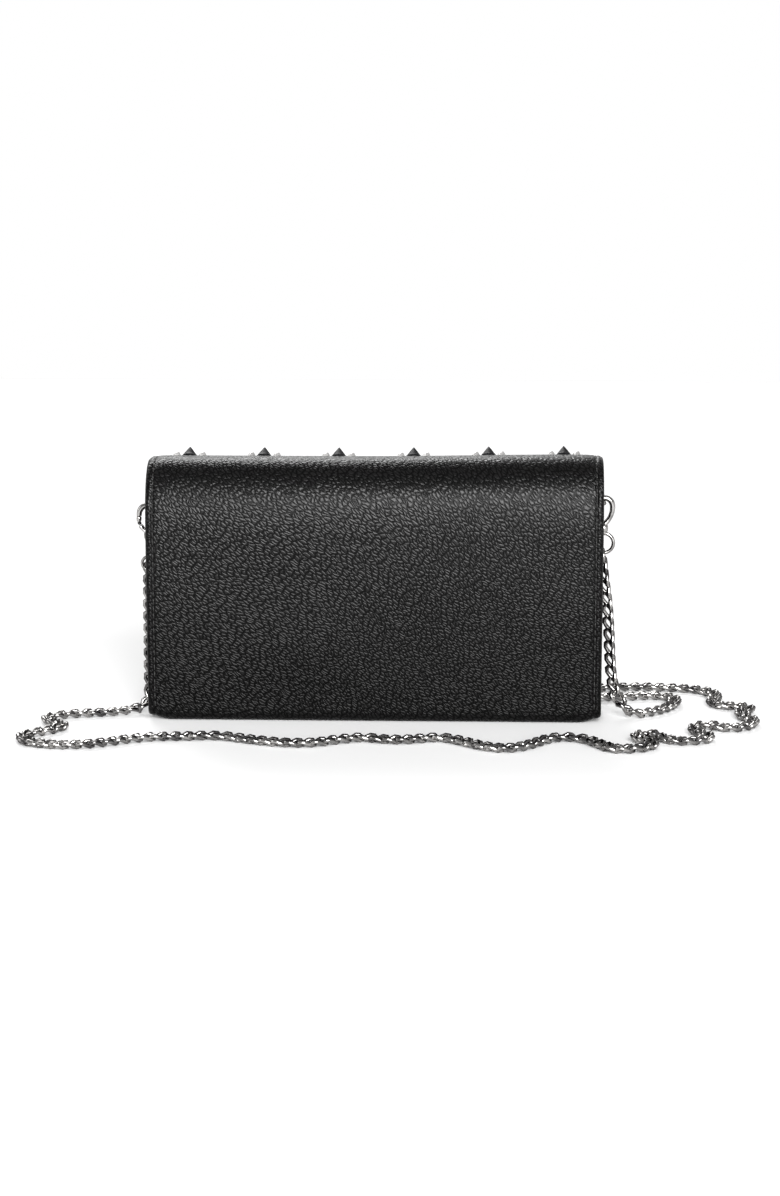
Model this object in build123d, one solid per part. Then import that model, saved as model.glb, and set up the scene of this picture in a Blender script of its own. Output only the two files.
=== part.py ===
from build123d import *
import math
import os

# Chain wallet, millimetres. Front (studded flap) faces -Y, back faces +Y, base on z = 0.

# overall
WIDTH = 190.0
DEPTH = 32.0
HEIGHT = 110.0
HALF_W = WIDTH / 2
BACK_Y = DEPTH / 2
FRONT_Y = -DEPTH / 2

# sheet thicknesses
LEATHER = 1.3
BOARD = 0.7
LINING = 0.5
GUSSET = 1.0
SLOT_SHEET = 0.7
BASE_IN = LEATHER + LINING

# folds
TOP_R = 10.0
FOLD_Z = HEIGHT - TOP_R
FOLD_GAP = 0.1
BASE_R = 4.0
END_TRIM_R = 3.5

# body shell
SHELL_FRONT_Y = -13.1
SHELL_FRONT_TOP = 96.0
FLAP_HALF_W = 94.0
FLAP_BOTTOM = 18.0
FLAP_CORNER_R = 13.0

# cone studs
STUD_PITCH = 31.7
STUD_ARC_DEG = 33.0
BLACK_R = 3.5
BLACK_H = 4.6
STEEL_R = 1.9
STEEL_H = 2.4
STEEL_OFFSET = 5.45
POST_R = 1.0
STEEL_POST_R = 0.6
WASHER_R = 2.6
WASHER_H = 0.6
SPINE_WASHER_R = 1.6
SPINE_WASHER_H = 0.5
SPINE_WASHER_DEPTH = 1.45
FRONT_ROWS_Z = [91.4, 78.8, 66.2, 53.6, 41.0]
STEEL_DX = (-STEEL_OFFSET, STEEL_OFFSET)
FOLD_SEAT = 0.6
FOLD_SEAT_STEEL = 0.2
SPINE_POST = SPINE_WASHER_DEPTH + SPINE_WASHER_H - FOLD_SEAT

# magnetic snap
SNAP_Z = 28.5
SNAP_R = 6.5
SNAP_NUB_R = 2.8
SNAP_RECESS_R = 3.8

# gussets: centreline from the back edge round to the front edge
GUSSET_X = 86.5
GUSSET_WING_X = 91.5
GUSSET_TOP = 96.0

# card slots and slip pocket
POCKET_BOTTOM = 5.0

# zip pocket
ZIP_Y = 1.7
ZIP_HALF_DEPTH = 4.3
ZIP_HALF_W = 83.0
ZIP_TOP = 86.0
TEETH_HALF_W = 79.0
SLIDER_X = 72.0
SLIDER_LEN = 8.5
PULL_AXIS_Z = 89.0

# side hardware: left is +X, right is -X
HANG_X = 96.0
HOOK_Z = {1: 84.15, -1: 88.35}
HOOK_R = 3.65
HOOK_HALF = 1.85
HOOK_WIRE_R = 1.15
LEVER_X = 3.0
LEVER_Z = -3.6
D_WIRE_R = 0.9
D_HALF_W = 5.9
D_CORNER_R = 4.4
BAR_X = 91.5
BAR_RISE = 4.9
EYE_R = 4.15
EYE_WIRE_R = 0.75
EYE_Z = -13.8
JUMP_R = 2.85
JUMP_WIRE_R = 0.65
JUMP_Z = -19.37

# chain
CHAIN_R = 2.3
FLOOR = 2.3
CHAIN_ROUTE = [
    (96.0, 0.0, 61.2), (96.4, 0.2, 49.0), (98.1, 1.2, 13.5), (100.3, 3.4, 5.8), (105.5, 7.0, 2.4),
    (114.0, 9.5, FLOOR), (123.0, 11.0, FLOOR), (132.0, 13.5, FLOOR), (137.5, 19.5, FLOOR),
    (135.5, 27.0, FLOOR), (130.5, 33.0, FLOOR), (132.0, 40.0, FLOOR), (138.0, 45.0, FLOOR),
    (142.5, 51.5, FLOOR), (141.0, 59.0, FLOOR), (134.0, 63.5, FLOOR), (125.0, 65.5, FLOOR),
    (115.5, 64.5, FLOOR), (106.5, 60.5, FLOOR), (98.0, 54.5, FLOOR), (88.0, 50.5, FLOOR),
    (76.0, 50.0, FLOOR), (64.5, 47.5, FLOOR), (54.5, 51.5, FLOOR), (44.0, 56.5, FLOOR),
    (33.0, 59.5, FLOOR), (22.5, 59.0, FLOOR), (13.0, 53.0, FLOOR), (3.5, 48.5, FLOOR),
    (-7.0, 53.0, FLOOR), (-17.5, 52.0, FLOOR), (-27.5, 47.0, FLOOR), (-37.0, 53.5, FLOOR),
    (-46.0, 62.5, FLOOR), (-56.0, 66.0, FLOOR), (-65.0, 59.5, FLOOR), (-75.0, 52.0, FLOOR),
    (-86.0, 49.0, FLOOR), (-95.0, 56.0, FLOOR), (-103.0, 64.0, FLOOR), (-111.5, 63.0, FLOOR),
    (-114.5, 55.5, FLOOR), (-111.5, 48.0, FLOOR), (-113.5, 41.0, FLOOR), (-120.5, 41.5, FLOOR),
    (-127.5, 47.5, FLOOR), (-135.5, 49.0, FLOOR), (-139.0, 42.5, FLOOR), (-135.0, 34.5, FLOOR),
    (-135.5, 26.5, FLOOR), (-142.5, 23.5, FLOOR), (-151.0, 25.5, FLOOR), (-158.0, 20.5, FLOOR),
    (-159.5, 12.0, FLOOR), (-155.5, 4.5, FLOOR), (-158.0, -4.0, FLOOR), (-155.5, -11.5, FLOOR),
    (-148.0, -15.5, FLOOR), (-145.0, -23.5, FLOOR), (-144.5, -32.0, FLOOR), (-137.5, -38.5, FLOOR),
    (-127.0, -44.0, FLOOR), (-114.5, -48.0, FLOOR), (-100.0, -46.0, FLOOR), (-80.0, -41.5, FLOOR),
    (-52.0, -45.0, FLOOR), (-16.0, -41.5, FLOOR), (20.0, -46.0, FLOOR), (48.0, -45.5, FLOOR),
    (66.0, -51.0, FLOOR), (81.0, -51.0, FLOOR), (89.5, -39.5, FLOOR), (83.0, -27.5, FLOOR),
    (67.0, -24.0, FLOOR), (40.0, -26.5, FLOOR), (6.0, -23.5, FLOOR), (-28.0, -26.0, FLOOR),
    (-58.0, -23.5, FLOOR), (-82.0, -26.0, FLOOR), (-98.0, -23.5, FLOOR), (-109.0, -24.5, FLOOR),
    (-118.5, -28.5, FLOOR), (-127.0, -27.5, FLOOR), (-131.5, -20.0, FLOOR), (-129.5, -11.5, FLOOR),
    (-123.0, -5.5, FLOOR), (-115.5, -1.5, 2.4), (-108.5, 0.3, 4.2), (-103.8, 0.2, 9.5),
    (-101.2, -0.2, 19.0), (-99.6, 0.2, 46.0), (-97.2, 0.0, 56.0), (-96.0, 0.0, 65.4),
]


def slab(x0, x1, y0, y1, z0, z1):
    """Box between two corners."""
    return Pos((x0 + x1) / 2, (y0 + y1) / 2, (z0 + z1) / 2) * Box(x1 - x0, y1 - y0, z1 - z0)


def rod_y(radius, length, x, y, z):
    """Cylinder along Y."""
    return Pos(x, y, z) * Rot(90, 0, 0) * Cylinder(radius, length)


def bar(start, end, radius):
    """Round bar between two points."""
    line = Line(start, end)
    return sweep(Plane(line @ 0, z_dir=line % 0) * Circle(radius), path=line)


# --- body shell, lining, gussets ---------------------------------------------------------

def u_shell(y0, y1, z0, thickness, radius, front_top, back_top, half_w):
    """U-section sheet: front wall, base and back wall, open at the top and both ends."""
    tall = 150.0
    mid = (y0 + y1) / 2
    outer = Pos(mid, z0 + tall / 2) * RectangleRounded(y1 - y0, tall, radius)
    inner_w = y1 - y0 - 2 * thickness
    inner = Pos(mid, z0 + thickness + tall / 2) * RectangleRounded(inner_w, tall, radius - thickness)
    front_keep = Pos((y0 + mid) / 2, front_top / 2) * Rectangle(mid - y0, front_top)
    back_keep = Pos((mid + y1) / 2, back_top / 2) * Rectangle(y1 - mid, back_top)
    section = (outer - inner) & (front_keep + back_keep)
    return extrude(Plane.YZ * section, amount=half_w, both=True)


def trim_base_ends(part):
    """Round the two bottom end corners of a sheet across the base."""
    tall = 300.0
    keep = Pos(0, tall / 2) * RectangleRounded(WIDTH, tall, END_TRIM_R)
    return part & extrude(Plane.XZ * keep, amount=60, both=True)


def outer_shell():
    shell = u_shell(SHELL_FRONT_Y, BACK_Y, 0, LEATHER, BASE_R, SHELL_FRONT_TOP,
                    FOLD_Z - FOLD_GAP, HALF_W)
    socket_seat = rod_y(SNAP_R, 4, 0, SHELL_FRONT_Y, SNAP_Z)
    return trim_base_ends(shell) - socket_seat


def shell_lining():
    lining = u_shell(SHELL_FRONT_Y + LEATHER, BACK_Y - LEATHER, LEATHER, LINING, BASE_R - LEATHER,
                     SHELL_FRONT_TOP - 1, FOLD_Z - 1, HALF_W - 0.4)
    return trim_base_ends(lining)


def gusset(side):
    """End gusset: a wing on each panel and a centre strip folded inwards."""
    back_face = BACK_Y - LEATHER - LINING
    front_face = SHELL_FRONT_Y + LEATHER + LINING
    outer = [(HALF_W - 0.3, back_face), (GUSSET_WING_X - 0.5, back_face), (GUSSET_X - 0.5, 7.2),
             (GUSSET_X - 0.5, -5.2), (GUSSET_WING_X - 0.5, front_face), (HALF_W - 0.3, front_face)]
    inner = [(HALF_W - 0.3, front_face + GUSSET), (GUSSET_WING_X, front_face + GUSSET),
             (GUSSET_X + 0.5, -4.8), (GUSSET_X + 0.5, 6.8),
             (GUSSET_WING_X, back_face - GUSSET), (HALF_W - 0.3, back_face - GUSSET)]
    outline = [(side * x, y) for x, y in outer + inner]
    column = extrude(make_face(Polyline(*outline, close=True)), amount=GUSSET_TOP, dir=(0, 0, 1))
    inside_y = (front_face + back_face) / 2
    inside = Pos(inside_y, BASE_IN + 75) * RectangleRounded(back_face - front_face, 150, BASE_R - BASE_IN)
    return trim_base_ends(column & extrude(Plane.YZ * inside, amount=HALF_W, both=True))


# --- inside: card slots, slip pocket, zip pocket ------------------------------------------

def card_panel(layer, top):
    """One stepped card slot sheet on the back wall, with a thumb notch over each column."""
    back = BACK_Y - LEATHER - LINING - layer * SLOT_SHEET
    sheet = slab(-80, 80, back - SLOT_SHEET, back, POCKET_BOTTOM, top)
    notches = [rod_y(9, 10, x, back, top + 5.5) for x in (-40, 40)]
    return sheet - notches


def slip_pocket():
    front = SHELL_FRONT_Y + LEATHER + LINING
    return slab(-82, 82, front, front + SLOT_SHEET, POCKET_BOTTOM, 74)


def zip_pocket():
    return u_shell(ZIP_Y - ZIP_HALF_DEPTH, ZIP_Y + ZIP_HALF_DEPTH, BASE_IN, 0.8, 1.6,
                   ZIP_TOP, ZIP_TOP, ZIP_HALF_W)


def zipper_tape(side):
    inner = ZIP_Y + side * 1.7
    outer = ZIP_Y + side * ZIP_HALF_DEPTH
    return slab(-ZIP_HALF_W, ZIP_HALF_W, min(inner, outer), max(inner, outer), ZIP_TOP, ZIP_TOP + 0.5)


def zipper_teeth(side):
    """Row of teeth drawn as a bar, with a slot between the rows for the slider's post."""
    inner = ZIP_Y + side * 0.5
    outer = ZIP_Y + side * 1.7
    return slab(-TEETH_HALF_W, TEETH_HALF_W, min(inner, outer), max(inner, outer),
                ZIP_TOP - 0.4, ZIP_TOP + 1.0)


def zipper_stops():
    ends = [slab(x - 1.2, x + 1.2, ZIP_Y - 1.9, ZIP_Y + 1.9, ZIP_TOP + 1.0, ZIP_TOP + 1.5)
            for x in (-TEETH_HALF_W + 1.2, TEETH_HALF_W - 1.2)]
    return Compound(children=ends)


def zipper_slider():
    """Top and bottom plates joined by a thin post, with an arch that holds the pull."""
    half = SLIDER_LEN / 2
    top_z = ZIP_TOP + 1.2
    plate = RectangleRounded(SLIDER_LEN, 5.4, 1.2)
    top = Pos(SLIDER_X, ZIP_Y, top_z) * extrude(plate, amount=0.9)
    bottom = Pos(SLIDER_X, ZIP_Y, ZIP_TOP - 1.5) * extrude(plate, amount=0.9)
    post = slab(SLIDER_X + half - 2.6, SLIDER_X + half - 0.4, ZIP_Y - 0.25, ZIP_Y + 0.25,
                ZIP_TOP - 0.7, top_z + 0.1)
    arch = slab(SLIDER_X - 3, SLIDER_X + 3, ZIP_Y - 0.8, ZIP_Y + 0.8, top_z + 0.8, top_z + 3.5)
    arch = fillet(arch.edges().filter_by(Axis.Y).sort_by(Axis.Z)[-2:], 1.0)
    arch = arch - slab(SLIDER_X - 1.9, SLIDER_X + 1.9, ZIP_Y - 2, ZIP_Y + 2, top_z + 0.9, top_z + 2.6)
    return top + bottom + post + arch


def zipper_pull():
    """Flat pull with a window round the arch and a round cross bar under it."""
    cross = rod_y(0.55, 4.4, SLIDER_X, ZIP_Y, PULL_AXIS_Z)
    outline = Pos(SLIDER_X - 9.5, ZIP_Y) * RectangleRounded(15, 5.0, 1.6)
    neck = Pos(SLIDER_X - 3, ZIP_Y) * Rectangle(6, 4.4)
    window = Pos(SLIDER_X - 2.4, ZIP_Y) * Rectangle(4.8, 2.2)
    grip = Pos(SLIDER_X - 14.4, ZIP_Y) * Circle(1.0)
    plate = extrude(outline + neck - window - grip, amount=0.55, both=True)
    past_axis = slab(SLIDER_X, SLIDER_X + 6, ZIP_Y - 4, ZIP_Y + 4, -2, 2)
    return Pos(0, 0, PULL_AXIS_Z) * (plate - past_axis) + cross


# --- flap ----------------------------------------------------------------------------------

def fold_over(inset, thickness, half_w):
    """Top half of a stadium ring: both folds and the flat spine between them."""
    outer = SlotOverall(DEPTH - 2 * inset, 2 * (TOP_R - inset))
    inner = SlotOverall(DEPTH - 2 * (inset + thickness), 2 * (TOP_R - inset - thickness))
    section = (outer - inner) & Pos(0, 15) * Rectangle(60, 30)
    return extrude(Plane.YZ * Pos(0, FOLD_Z) * section, amount=half_w, both=True)


def front_leaf(inset, thickness, margin):
    """Hanging sheet of the flap with rounded lower corners."""
    half_w = FLAP_HALF_W - margin
    bottom = FLAP_BOTTOM + margin
    top = FOLD_Z - FOLD_GAP
    face = Pos(0, (top + bottom) / 2) * Rectangle(2 * half_w, top - bottom)
    face = fillet(face.vertices().sort_by(Axis.Y)[:2], FLAP_CORNER_R - margin)
    sheet = extrude(Plane.XZ * face, amount=thickness)
    return Pos(0, FRONT_Y + inset - sheet.bounding_box().min.Y, 0) * sheet


def spine_seat(depth_below, x):
    """Place on the front fold, square to it, some depth below its outer face."""
    arc = math.radians(STUD_ARC_DEG)
    radius = TOP_R - depth_below
    y = FRONT_Y + TOP_R - radius * math.sin(arc)
    z = FOLD_Z + radius * math.cos(arc)
    return Pos(x, y, z) * Rot(STUD_ARC_DEG, 0, 0)


def front_seat(depth_below, x, z):
    return Pos(x, FRONT_Y + depth_below, z) * Rot(90, 0, 0)


def row_xs(count):
    return [STUD_PITCH * (i - (count - 1) / 2) for i in range(count)]


def spine_places(depth_below, offsets):
    return [spine_seat(depth_below, x + dx) for x in row_xs(6) for dx in offsets]


def front_places(depth_below, offsets):
    """Rows of five and six in turn, each row half a pitch from the one above it."""
    places = []
    for row, z in enumerate(FRONT_ROWS_Z):
        for x in row_xs(5 + row % 2):
            places += [front_seat(depth_below, x + dx, z) for dx in offsets]
    return places


def cone(radius, height, post_r, post_len):
    """Cone stud with a short straight rim and a post that goes down through the leather."""
    rim = Pos(0, 0, 0.25) * Cylinder(radius, 0.5)
    point = Pos(0, 0, 0.5 + (height - 0.5) / 2) * Cone(radius, 0.22, height - 0.5)
    post = Pos(0, 0, -post_len / 2) * Cylinder(post_r, post_len)
    return rim + point + post


def placed(shape, places):
    return Compound(children=[place * shape for place in places])


def hole_cutters(radius, length, places):
    return [place * Cylinder(radius, length) for place in places]


def flap_spine_leather():
    sheet = fold_over(0, LEATHER, FLAP_HALF_W)
    seats = [place * Pos(0, 0, 1) * Cylinder(BLACK_R, 2) for place in spine_places(FOLD_SEAT, (0,))]
    seats += [place * Pos(0, 0, 1) * Cylinder(STEEL_R, 2)
              for place in spine_places(FOLD_SEAT_STEEL, STEEL_DX)]
    holes = hole_cutters(POST_R, 6, spine_places(0, (0,)))
    holes += hole_cutters(STEEL_POST_R, 6, spine_places(0, STEEL_DX))
    return sheet - seats - holes


def flap_front_leather():
    sheet = front_leaf(0, LEATHER, 0)
    holes = hole_cutters(POST_R, 6, front_places(0, (0,)))
    holes += hole_cutters(STEEL_POST_R, 6, front_places(0, STEEL_DX))
    return sheet - holes


def flap_spine_board():
    sheet = fold_over(LEATHER, BOARD, FLAP_HALF_W - 2.5)
    return sheet - hole_cutters(SPINE_WASHER_R + 0.1, 6, spine_places(0, (0,)))


def flap_front_board():
    sheet = front_leaf(LEATHER, BOARD, 2.5)
    pockets = hole_cutters(WASHER_R + 0.1, 6, front_places(0, (0,)))
    return sheet - pockets - rod_y(SNAP_R, 8, 0, FRONT_Y, SNAP_Z)


def flap_front_lining():
    sheet = front_leaf(LEATHER + BOARD, LINING, 1.2)
    return sheet - rod_y(SNAP_R, 8, 0, FRONT_Y, SNAP_Z)


def washer(radius, height):
    return Pos(0, 0, -height / 2) * (Cylinder(radius, height) - Cylinder(POST_R, height))


def snap_stud():
    """Male half: a disc under the flap leather with a nub that faces the body."""
    disc_y = FRONT_Y + LEATHER
    disc = rod_y(SNAP_R, 1.2, 0, disc_y + 0.6, SNAP_Z)
    nub = rod_y(SNAP_NUB_R, 1.0, 0, disc_y + 1.7, SNAP_Z)
    return disc + nub


def snap_socket():
    """Female half: a disc let into the front panel with a recess for the nub."""
    face = SHELL_FRONT_Y - 0.3
    disc = rod_y(SNAP_R, 1.6, 0, face + 0.8, SNAP_Z)
    return disc - rod_y(SNAP_RECESS_R, 2.4, 0, face, SNAP_Z)


# --- side hardware, in a frame centred on the hook -------------------------------------------

def hook_at(side):
    return Pos(side * HANG_X, 0, HOOK_Z[side])


def ring_tab(side):
    """Leather loop sewn on the gusset, leaning out to hold the D-ring's bar."""
    bar_z = HOOK_Z[side] + 3.4 + BAR_RISE
    leg = slab(87.0, 89.0, -3.7, 3.7, bar_z - 14, bar_z - 3.4)
    dx = BAR_X - 88.0
    dz = 3.9
    angle = math.degrees(math.atan2(dz, dx))
    arm = Pos(88.0 + dx / 2, 0, bar_z - dz / 2) * Rot(0, -angle, 0) * Box(math.hypot(dx, dz), 7.4, 2.0)
    loop = rod_y(2.0, 7.4, BAR_X, 0, bar_z)
    tab = leg + arm + loop - rod_y(D_WIRE_R + 0.08, 20, BAR_X, 0, bar_z)
    return tab if side > 0 else mirror(tab, about=Plane.YZ)


def d_ring(side):
    """Wire D: straight bar through the tab, round side through the hook."""
    bar_z = HOOK_Z[side] + 3.4 + BAR_RISE
    far_x = HANG_X
    far_z = bar_z - BAR_RISE
    reach = math.hypot(far_x - BAR_X, BAR_RISE)
    out = Vector(far_x - BAR_X, 0, far_z - bar_z) / reach
    root = Vector(BAR_X, 0, bar_z)
    half = Vector(0, D_HALF_W, 0)
    corners = [root - half, root + out * reach - half, root + out * reach + half, root + half]
    path = FilletPolyline(*corners, radius=[1.3, D_CORNER_R, D_CORNER_R, 1.3], close=True)
    start = path.edges().sort_by(lambda e: (e @ 0.5 - root).length)[0]
    section = Plane(start @ 0, z_dir=start % 0) * Circle(D_WIRE_R)
    ring = sweep(section, path=Wire(path.edges()))
    return ring if side > 0 else mirror(ring, about=Plane.YZ)


def clasp_hook(side):
    """Trigger clasp body: round hook, forked pivot boss and a hollow neck for the swivel."""
    top = Line((HOOK_R, 0, HOOK_HALF - 0.6), (HOOK_R, 0, HOOK_HALF))
    over = ThreePointArc((HOOK_R, 0, HOOK_HALF), (0, 0, HOOK_HALF + HOOK_R), (-HOOK_R, 0, HOOK_HALF))
    back = Line((-HOOK_R, 0, HOOK_HALF), (-HOOK_R, 0, -HOOK_HALF))
    low = -HOOK_HALF
    tail = math.radians(-62)
    tail_end = (HOOK_R * math.cos(tail), 0, low + HOOK_R * math.sin(tail))
    mid = math.radians(-121)
    under = ThreePointArc((-HOOK_R, 0, low), (HOOK_R * math.cos(mid), 0, low + HOOK_R * math.sin(mid)),
                          tail_end)
    path = Wire([top.edge(), over.edge(), back.edge(), under.edge()])
    wire = sweep(Plane((HOOK_R, 0, HOOK_HALF - 0.6), z_dir=(0, 0, 1)) * Circle(HOOK_WIRE_R), path=path)
    boss = rod_y(1.95, 3.4, LEVER_X, 0, LEVER_Z)
    neck = Pos(0, 0, -7.1) * Cylinder(1.9, 3.2)
    body = wire + boss + neck
    fork = rod_y(1.5, 1.9, LEVER_X, 0, LEVER_Z) + slab(0.9, 5.2, -0.95, 0.95, LEVER_Z, 0.9)
    cavity = Pos(0, 0, -7.0) * Cylinder(1.3, 1.2)
    bore = Pos(0, 0, -8.1) * Cylinder(0.85, 2.0)
    pin_hole = rod_y(0.5, 6, LEVER_X, 0, LEVER_Z)
    return hook_at(side) * (body - fork - cavity - bore - pin_hole)


def clasp_lever(side):
    """Sprung gate with a thumb knob."""
    root = rod_y(1.3, 1.1, LEVER_X, -0.3, LEVER_Z)
    arm = bar((LEVER_X + 0.2, -0.3, LEVER_Z + 0.9), (HOOK_R, 0, 0.45), 0.62)
    nose = Pos(HOOK_R, 0, 0.45) * Sphere(0.62)
    knob = Pos(4.3, 0, -1.6) * Sphere(0.85)
    return hook_at(side) * (root + arm + nose + knob - rod_y(0.55, 6, LEVER_X, 0, LEVER_Z))


def clasp_pin(side):
    return hook_at(side) * rod_y(0.5, 3.4, LEVER_X, 0, LEVER_Z)


def clasp_spring(side):
    """Two coils of fine wire round the pin beside the lever."""
    coils = [Pos(LEVER_X, 0.45 + 0.3 * i, LEVER_Z) * Rot(90, 0, 0) * Torus(0.72, 0.12) for i in range(2)]
    return Compound(children=[hook_at(side) * coil for coil in coils])


def swivel_eye(side):
    """Ring on a headed stem that turns in the clasp's neck."""
    ring = Pos(0, 0, EYE_Z) * Rot(90, 0, 0) * Torus(EYE_R, EYE_WIRE_R)
    collar = Pos(0, 0, -9.15) * Cylinder(1.5, 0.7)
    stem = Pos(0, 0, -8.2) * Cylinder(0.8, 2.4)
    head = Pos(0, 0, -7.15) * Cylinder(1.22, 0.6)
    turn = 90 if side > 0 else 0
    return hook_at(side) * Rot(0, 0, turn) * (ring + collar + stem + head)


def jump_ring(side):
    turn = 0 if side > 0 else 90
    return hook_at(side) * Rot(0, 0, turn) * Pos(0, 0, JUMP_Z) * Rot(90, 0, 0) * Torus(JUMP_R, JUMP_WIRE_R)


# --- chain -----------------------------------------------------------------------------------

def corner_radii(points):
    """Largest arcs that fit: 0.45 of the shorter run over the tangent of half the turn."""
    radii = []
    for before, here, after in zip(points, points[1:], points[2:]):
        arrive = Vector(*here) - Vector(*before)
        leave = Vector(*after) - Vector(*here)
        half_turn = math.radians(arrive.get_angle(leave)) / 2
        radii.append(0.45 * min(arrive.length, leave.length) / math.tan(half_turn))
    return radii


def chain():
    radii = corner_radii(CHAIN_ROUTE)
    path = FilletPolyline(*CHAIN_ROUTE, radius=radii)
    tube = sweep(Plane(path @ 0, z_dir=path % 0) * Circle(CHAIN_R), path=path)
    expected = path.length * math.pi * CHAIN_R ** 2
    print("chain length", round(path.length, 1), "volume ratio", round(tube.volume / expected, 4))
    print("chain radii", [round(r, 1) for r in radii])
    return tube


def build():
    os.makedirs("parts", exist_ok=True)
    nodes = {
        "outer_shell": outer_shell(),
        "shell_lining": shell_lining(),
        "card_panel_top": card_panel(0, 82),
        "card_panel_middle": card_panel(1, 70),
        "card_panel_low": card_panel(2, 58),
        "slip_pocket": slip_pocket(),
        "zip_pocket": zip_pocket(),
        "zipper_tape_front": zipper_tape(-1),
        "zipper_tape_rear": zipper_tape(1),
        "zipper_teeth_front": zipper_teeth(-1),
        "zipper_teeth_rear": zipper_teeth(1),
        "zipper_stops": zipper_stops(),
        "zipper_slider": zipper_slider(),
        "zipper_pull": zipper_pull(),
        "flap_spine_leather": flap_spine_leather(),
        "flap_spine_board": flap_spine_board(),
        "flap_spine_lining": fold_over(LEATHER + BOARD, LINING, FLAP_HALF_W - 1.2),
        "flap_front_leather": flap_front_leather(),
        "flap_front_board": flap_front_board(),
        "flap_front_lining": flap_front_lining(),
        "spine_black_cones": placed(cone(BLACK_R, BLACK_H, POST_R, SPINE_POST),
                                    spine_places(FOLD_SEAT, (0,))),
        "spine_steel_cones": placed(cone(STEEL_R, STEEL_H, STEEL_POST_R, LEATHER - FOLD_SEAT_STEEL),
                                    spine_places(FOLD_SEAT_STEEL, STEEL_DX)),
        "front_black_cones": placed(cone(BLACK_R, BLACK_H, POST_R, LEATHER + WASHER_H),
                                    front_places(0, (0,))),
        "front_steel_cones": placed(cone(STEEL_R, STEEL_H, STEEL_POST_R, LEATHER),
                                    front_places(0, STEEL_DX)),
        "spine_cone_washers": placed(washer(SPINE_WASHER_R, SPINE_WASHER_H),
                                     spine_places(SPINE_WASHER_DEPTH, (0,))),
        "front_cone_washers": placed(washer(WASHER_R, WASHER_H), front_places(LEATHER, (0,))),
        "snap_stud": snap_stud(),
        "snap_socket": snap_socket(),
        "chain": chain(),
    }
    for word, side in (("left", 1), ("right", -1)):
        nodes["gusset_" + word] = gusset(side)
        nodes["ring_tab_" + word] = ring_tab(side)
        nodes["d_ring_" + word] = d_ring(side)
        nodes["clasp_hook_" + word] = clasp_hook(side)
        nodes["clasp_lever_" + word] = clasp_lever(side)
        nodes["clasp_pin_" + word] = clasp_pin(side)
        nodes["clasp_spring_" + word] = clasp_spring(side)
        nodes["swivel_eye_" + word] = swivel_eye(side)
        nodes["jump_ring_" + word] = jump_ring(side)
    for name, shape in nodes.items():
        export_step(shape, "parts/" + name + ".step")


build()
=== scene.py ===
import math
import bmesh
import bpy
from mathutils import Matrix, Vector, noise


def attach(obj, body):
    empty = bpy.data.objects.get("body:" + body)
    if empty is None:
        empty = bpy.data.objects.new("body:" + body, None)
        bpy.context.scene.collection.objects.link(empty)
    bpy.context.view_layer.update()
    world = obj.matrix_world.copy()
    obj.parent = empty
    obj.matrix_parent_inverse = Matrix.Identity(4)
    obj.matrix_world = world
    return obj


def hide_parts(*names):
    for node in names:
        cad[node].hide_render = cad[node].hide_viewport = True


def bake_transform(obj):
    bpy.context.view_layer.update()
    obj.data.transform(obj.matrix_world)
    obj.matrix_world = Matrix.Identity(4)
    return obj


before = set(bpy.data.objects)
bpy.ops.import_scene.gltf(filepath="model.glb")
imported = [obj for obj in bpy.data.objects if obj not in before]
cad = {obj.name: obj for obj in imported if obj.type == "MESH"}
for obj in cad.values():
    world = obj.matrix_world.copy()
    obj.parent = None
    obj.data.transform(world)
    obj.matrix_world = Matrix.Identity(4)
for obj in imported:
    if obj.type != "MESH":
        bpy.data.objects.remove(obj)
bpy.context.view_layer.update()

# Shapes are drawn in millimetres and turned into metres when a mesh is made.
# The front, with the studs, faces -Y. The back faces +Y. The wallet's left is +X.
MM = 0.001

# --- sizes, as in the CAD ---
HALF_W = 95.0
FLAP_HALF_W = 94.0
BACK_Y = 16.0
FRONT_Y = -16.0
FOLD_Z = 100.0
TOP_R = 10.0
BASE_R = 4.0
WALL_Y = -13.1
WALL_TOP = 96.0
FLAP_BOTTOM = 18.0
FLAP_CORNER_R = 13.0
LEATHER = 1.3
BOARD = 0.7
LINING = 0.5
SLOT_SHEET = 0.7
GUSSET = 1.0
STRAP = 0.85

STUD_PITCH = 31.7
STUD_ARC_DEG = 33.0
STUD_ROWS_Z = [91.4, 78.8, 66.2, 53.6, 41.0]
BLACK_R = 3.5
BLACK_H = 5.0
STEEL_R = 1.9
STEEL_H = 2.8
STEEL_OFFSET = 5.45

SNAP_Z = 28.5
SNAP_R = 6.5

ZIP_Y = 1.7
ZIP_HALF_DEPTH = 4.3
ZIP_HALF_W = 83.0
ZIP_TOP = 86.0
ZIP_FOOT = 1.85
TEETH_HALF_W = 78.0
TOOTH_PITCH = 1.5

HANG_X = 96.0
HOOK_Z = {"left": 84.15, "right": 88.35}
BAR_Z = {"left": 92.45, "right": 96.65}

# --- how the finished wallet settles, in millimetres ---
CREST_DROOP = 0.7       # the top's ends hang a little
RIGHT_RISE = 1.1        # the right end of the top stands a little higher
BASE_LIFT = 1.9         # the base's ends curl up
SWELL = 0.55            # slow waves of the back panel

REAR_ROLL = [(16.0, 76.0), (15.95, 82.0), (15.6, 88.0), (14.9, 93.5), (13.5, 98.2), (11.4, 102.2),
             (8.7, 105.6), (5.4, 108.1), (1.6, 109.6), (-2.0, 110.0)]

# --- grids and stitches ---
CELL = 2.4
SEAM_Y = -5.0           # where the two outer leather pieces meet on the spine
STITCH_PITCH = 3.1
STITCH_INSET = 2.6
EDGE_STEPS = (0.0, 0.35, 0.8, 1.35, 1.95, 2.3, 2.6, 2.9, 3.25, 4.0)    # rows of points beside an edge
ACROSS_CELLS = 72       # cells between the two edges

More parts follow.
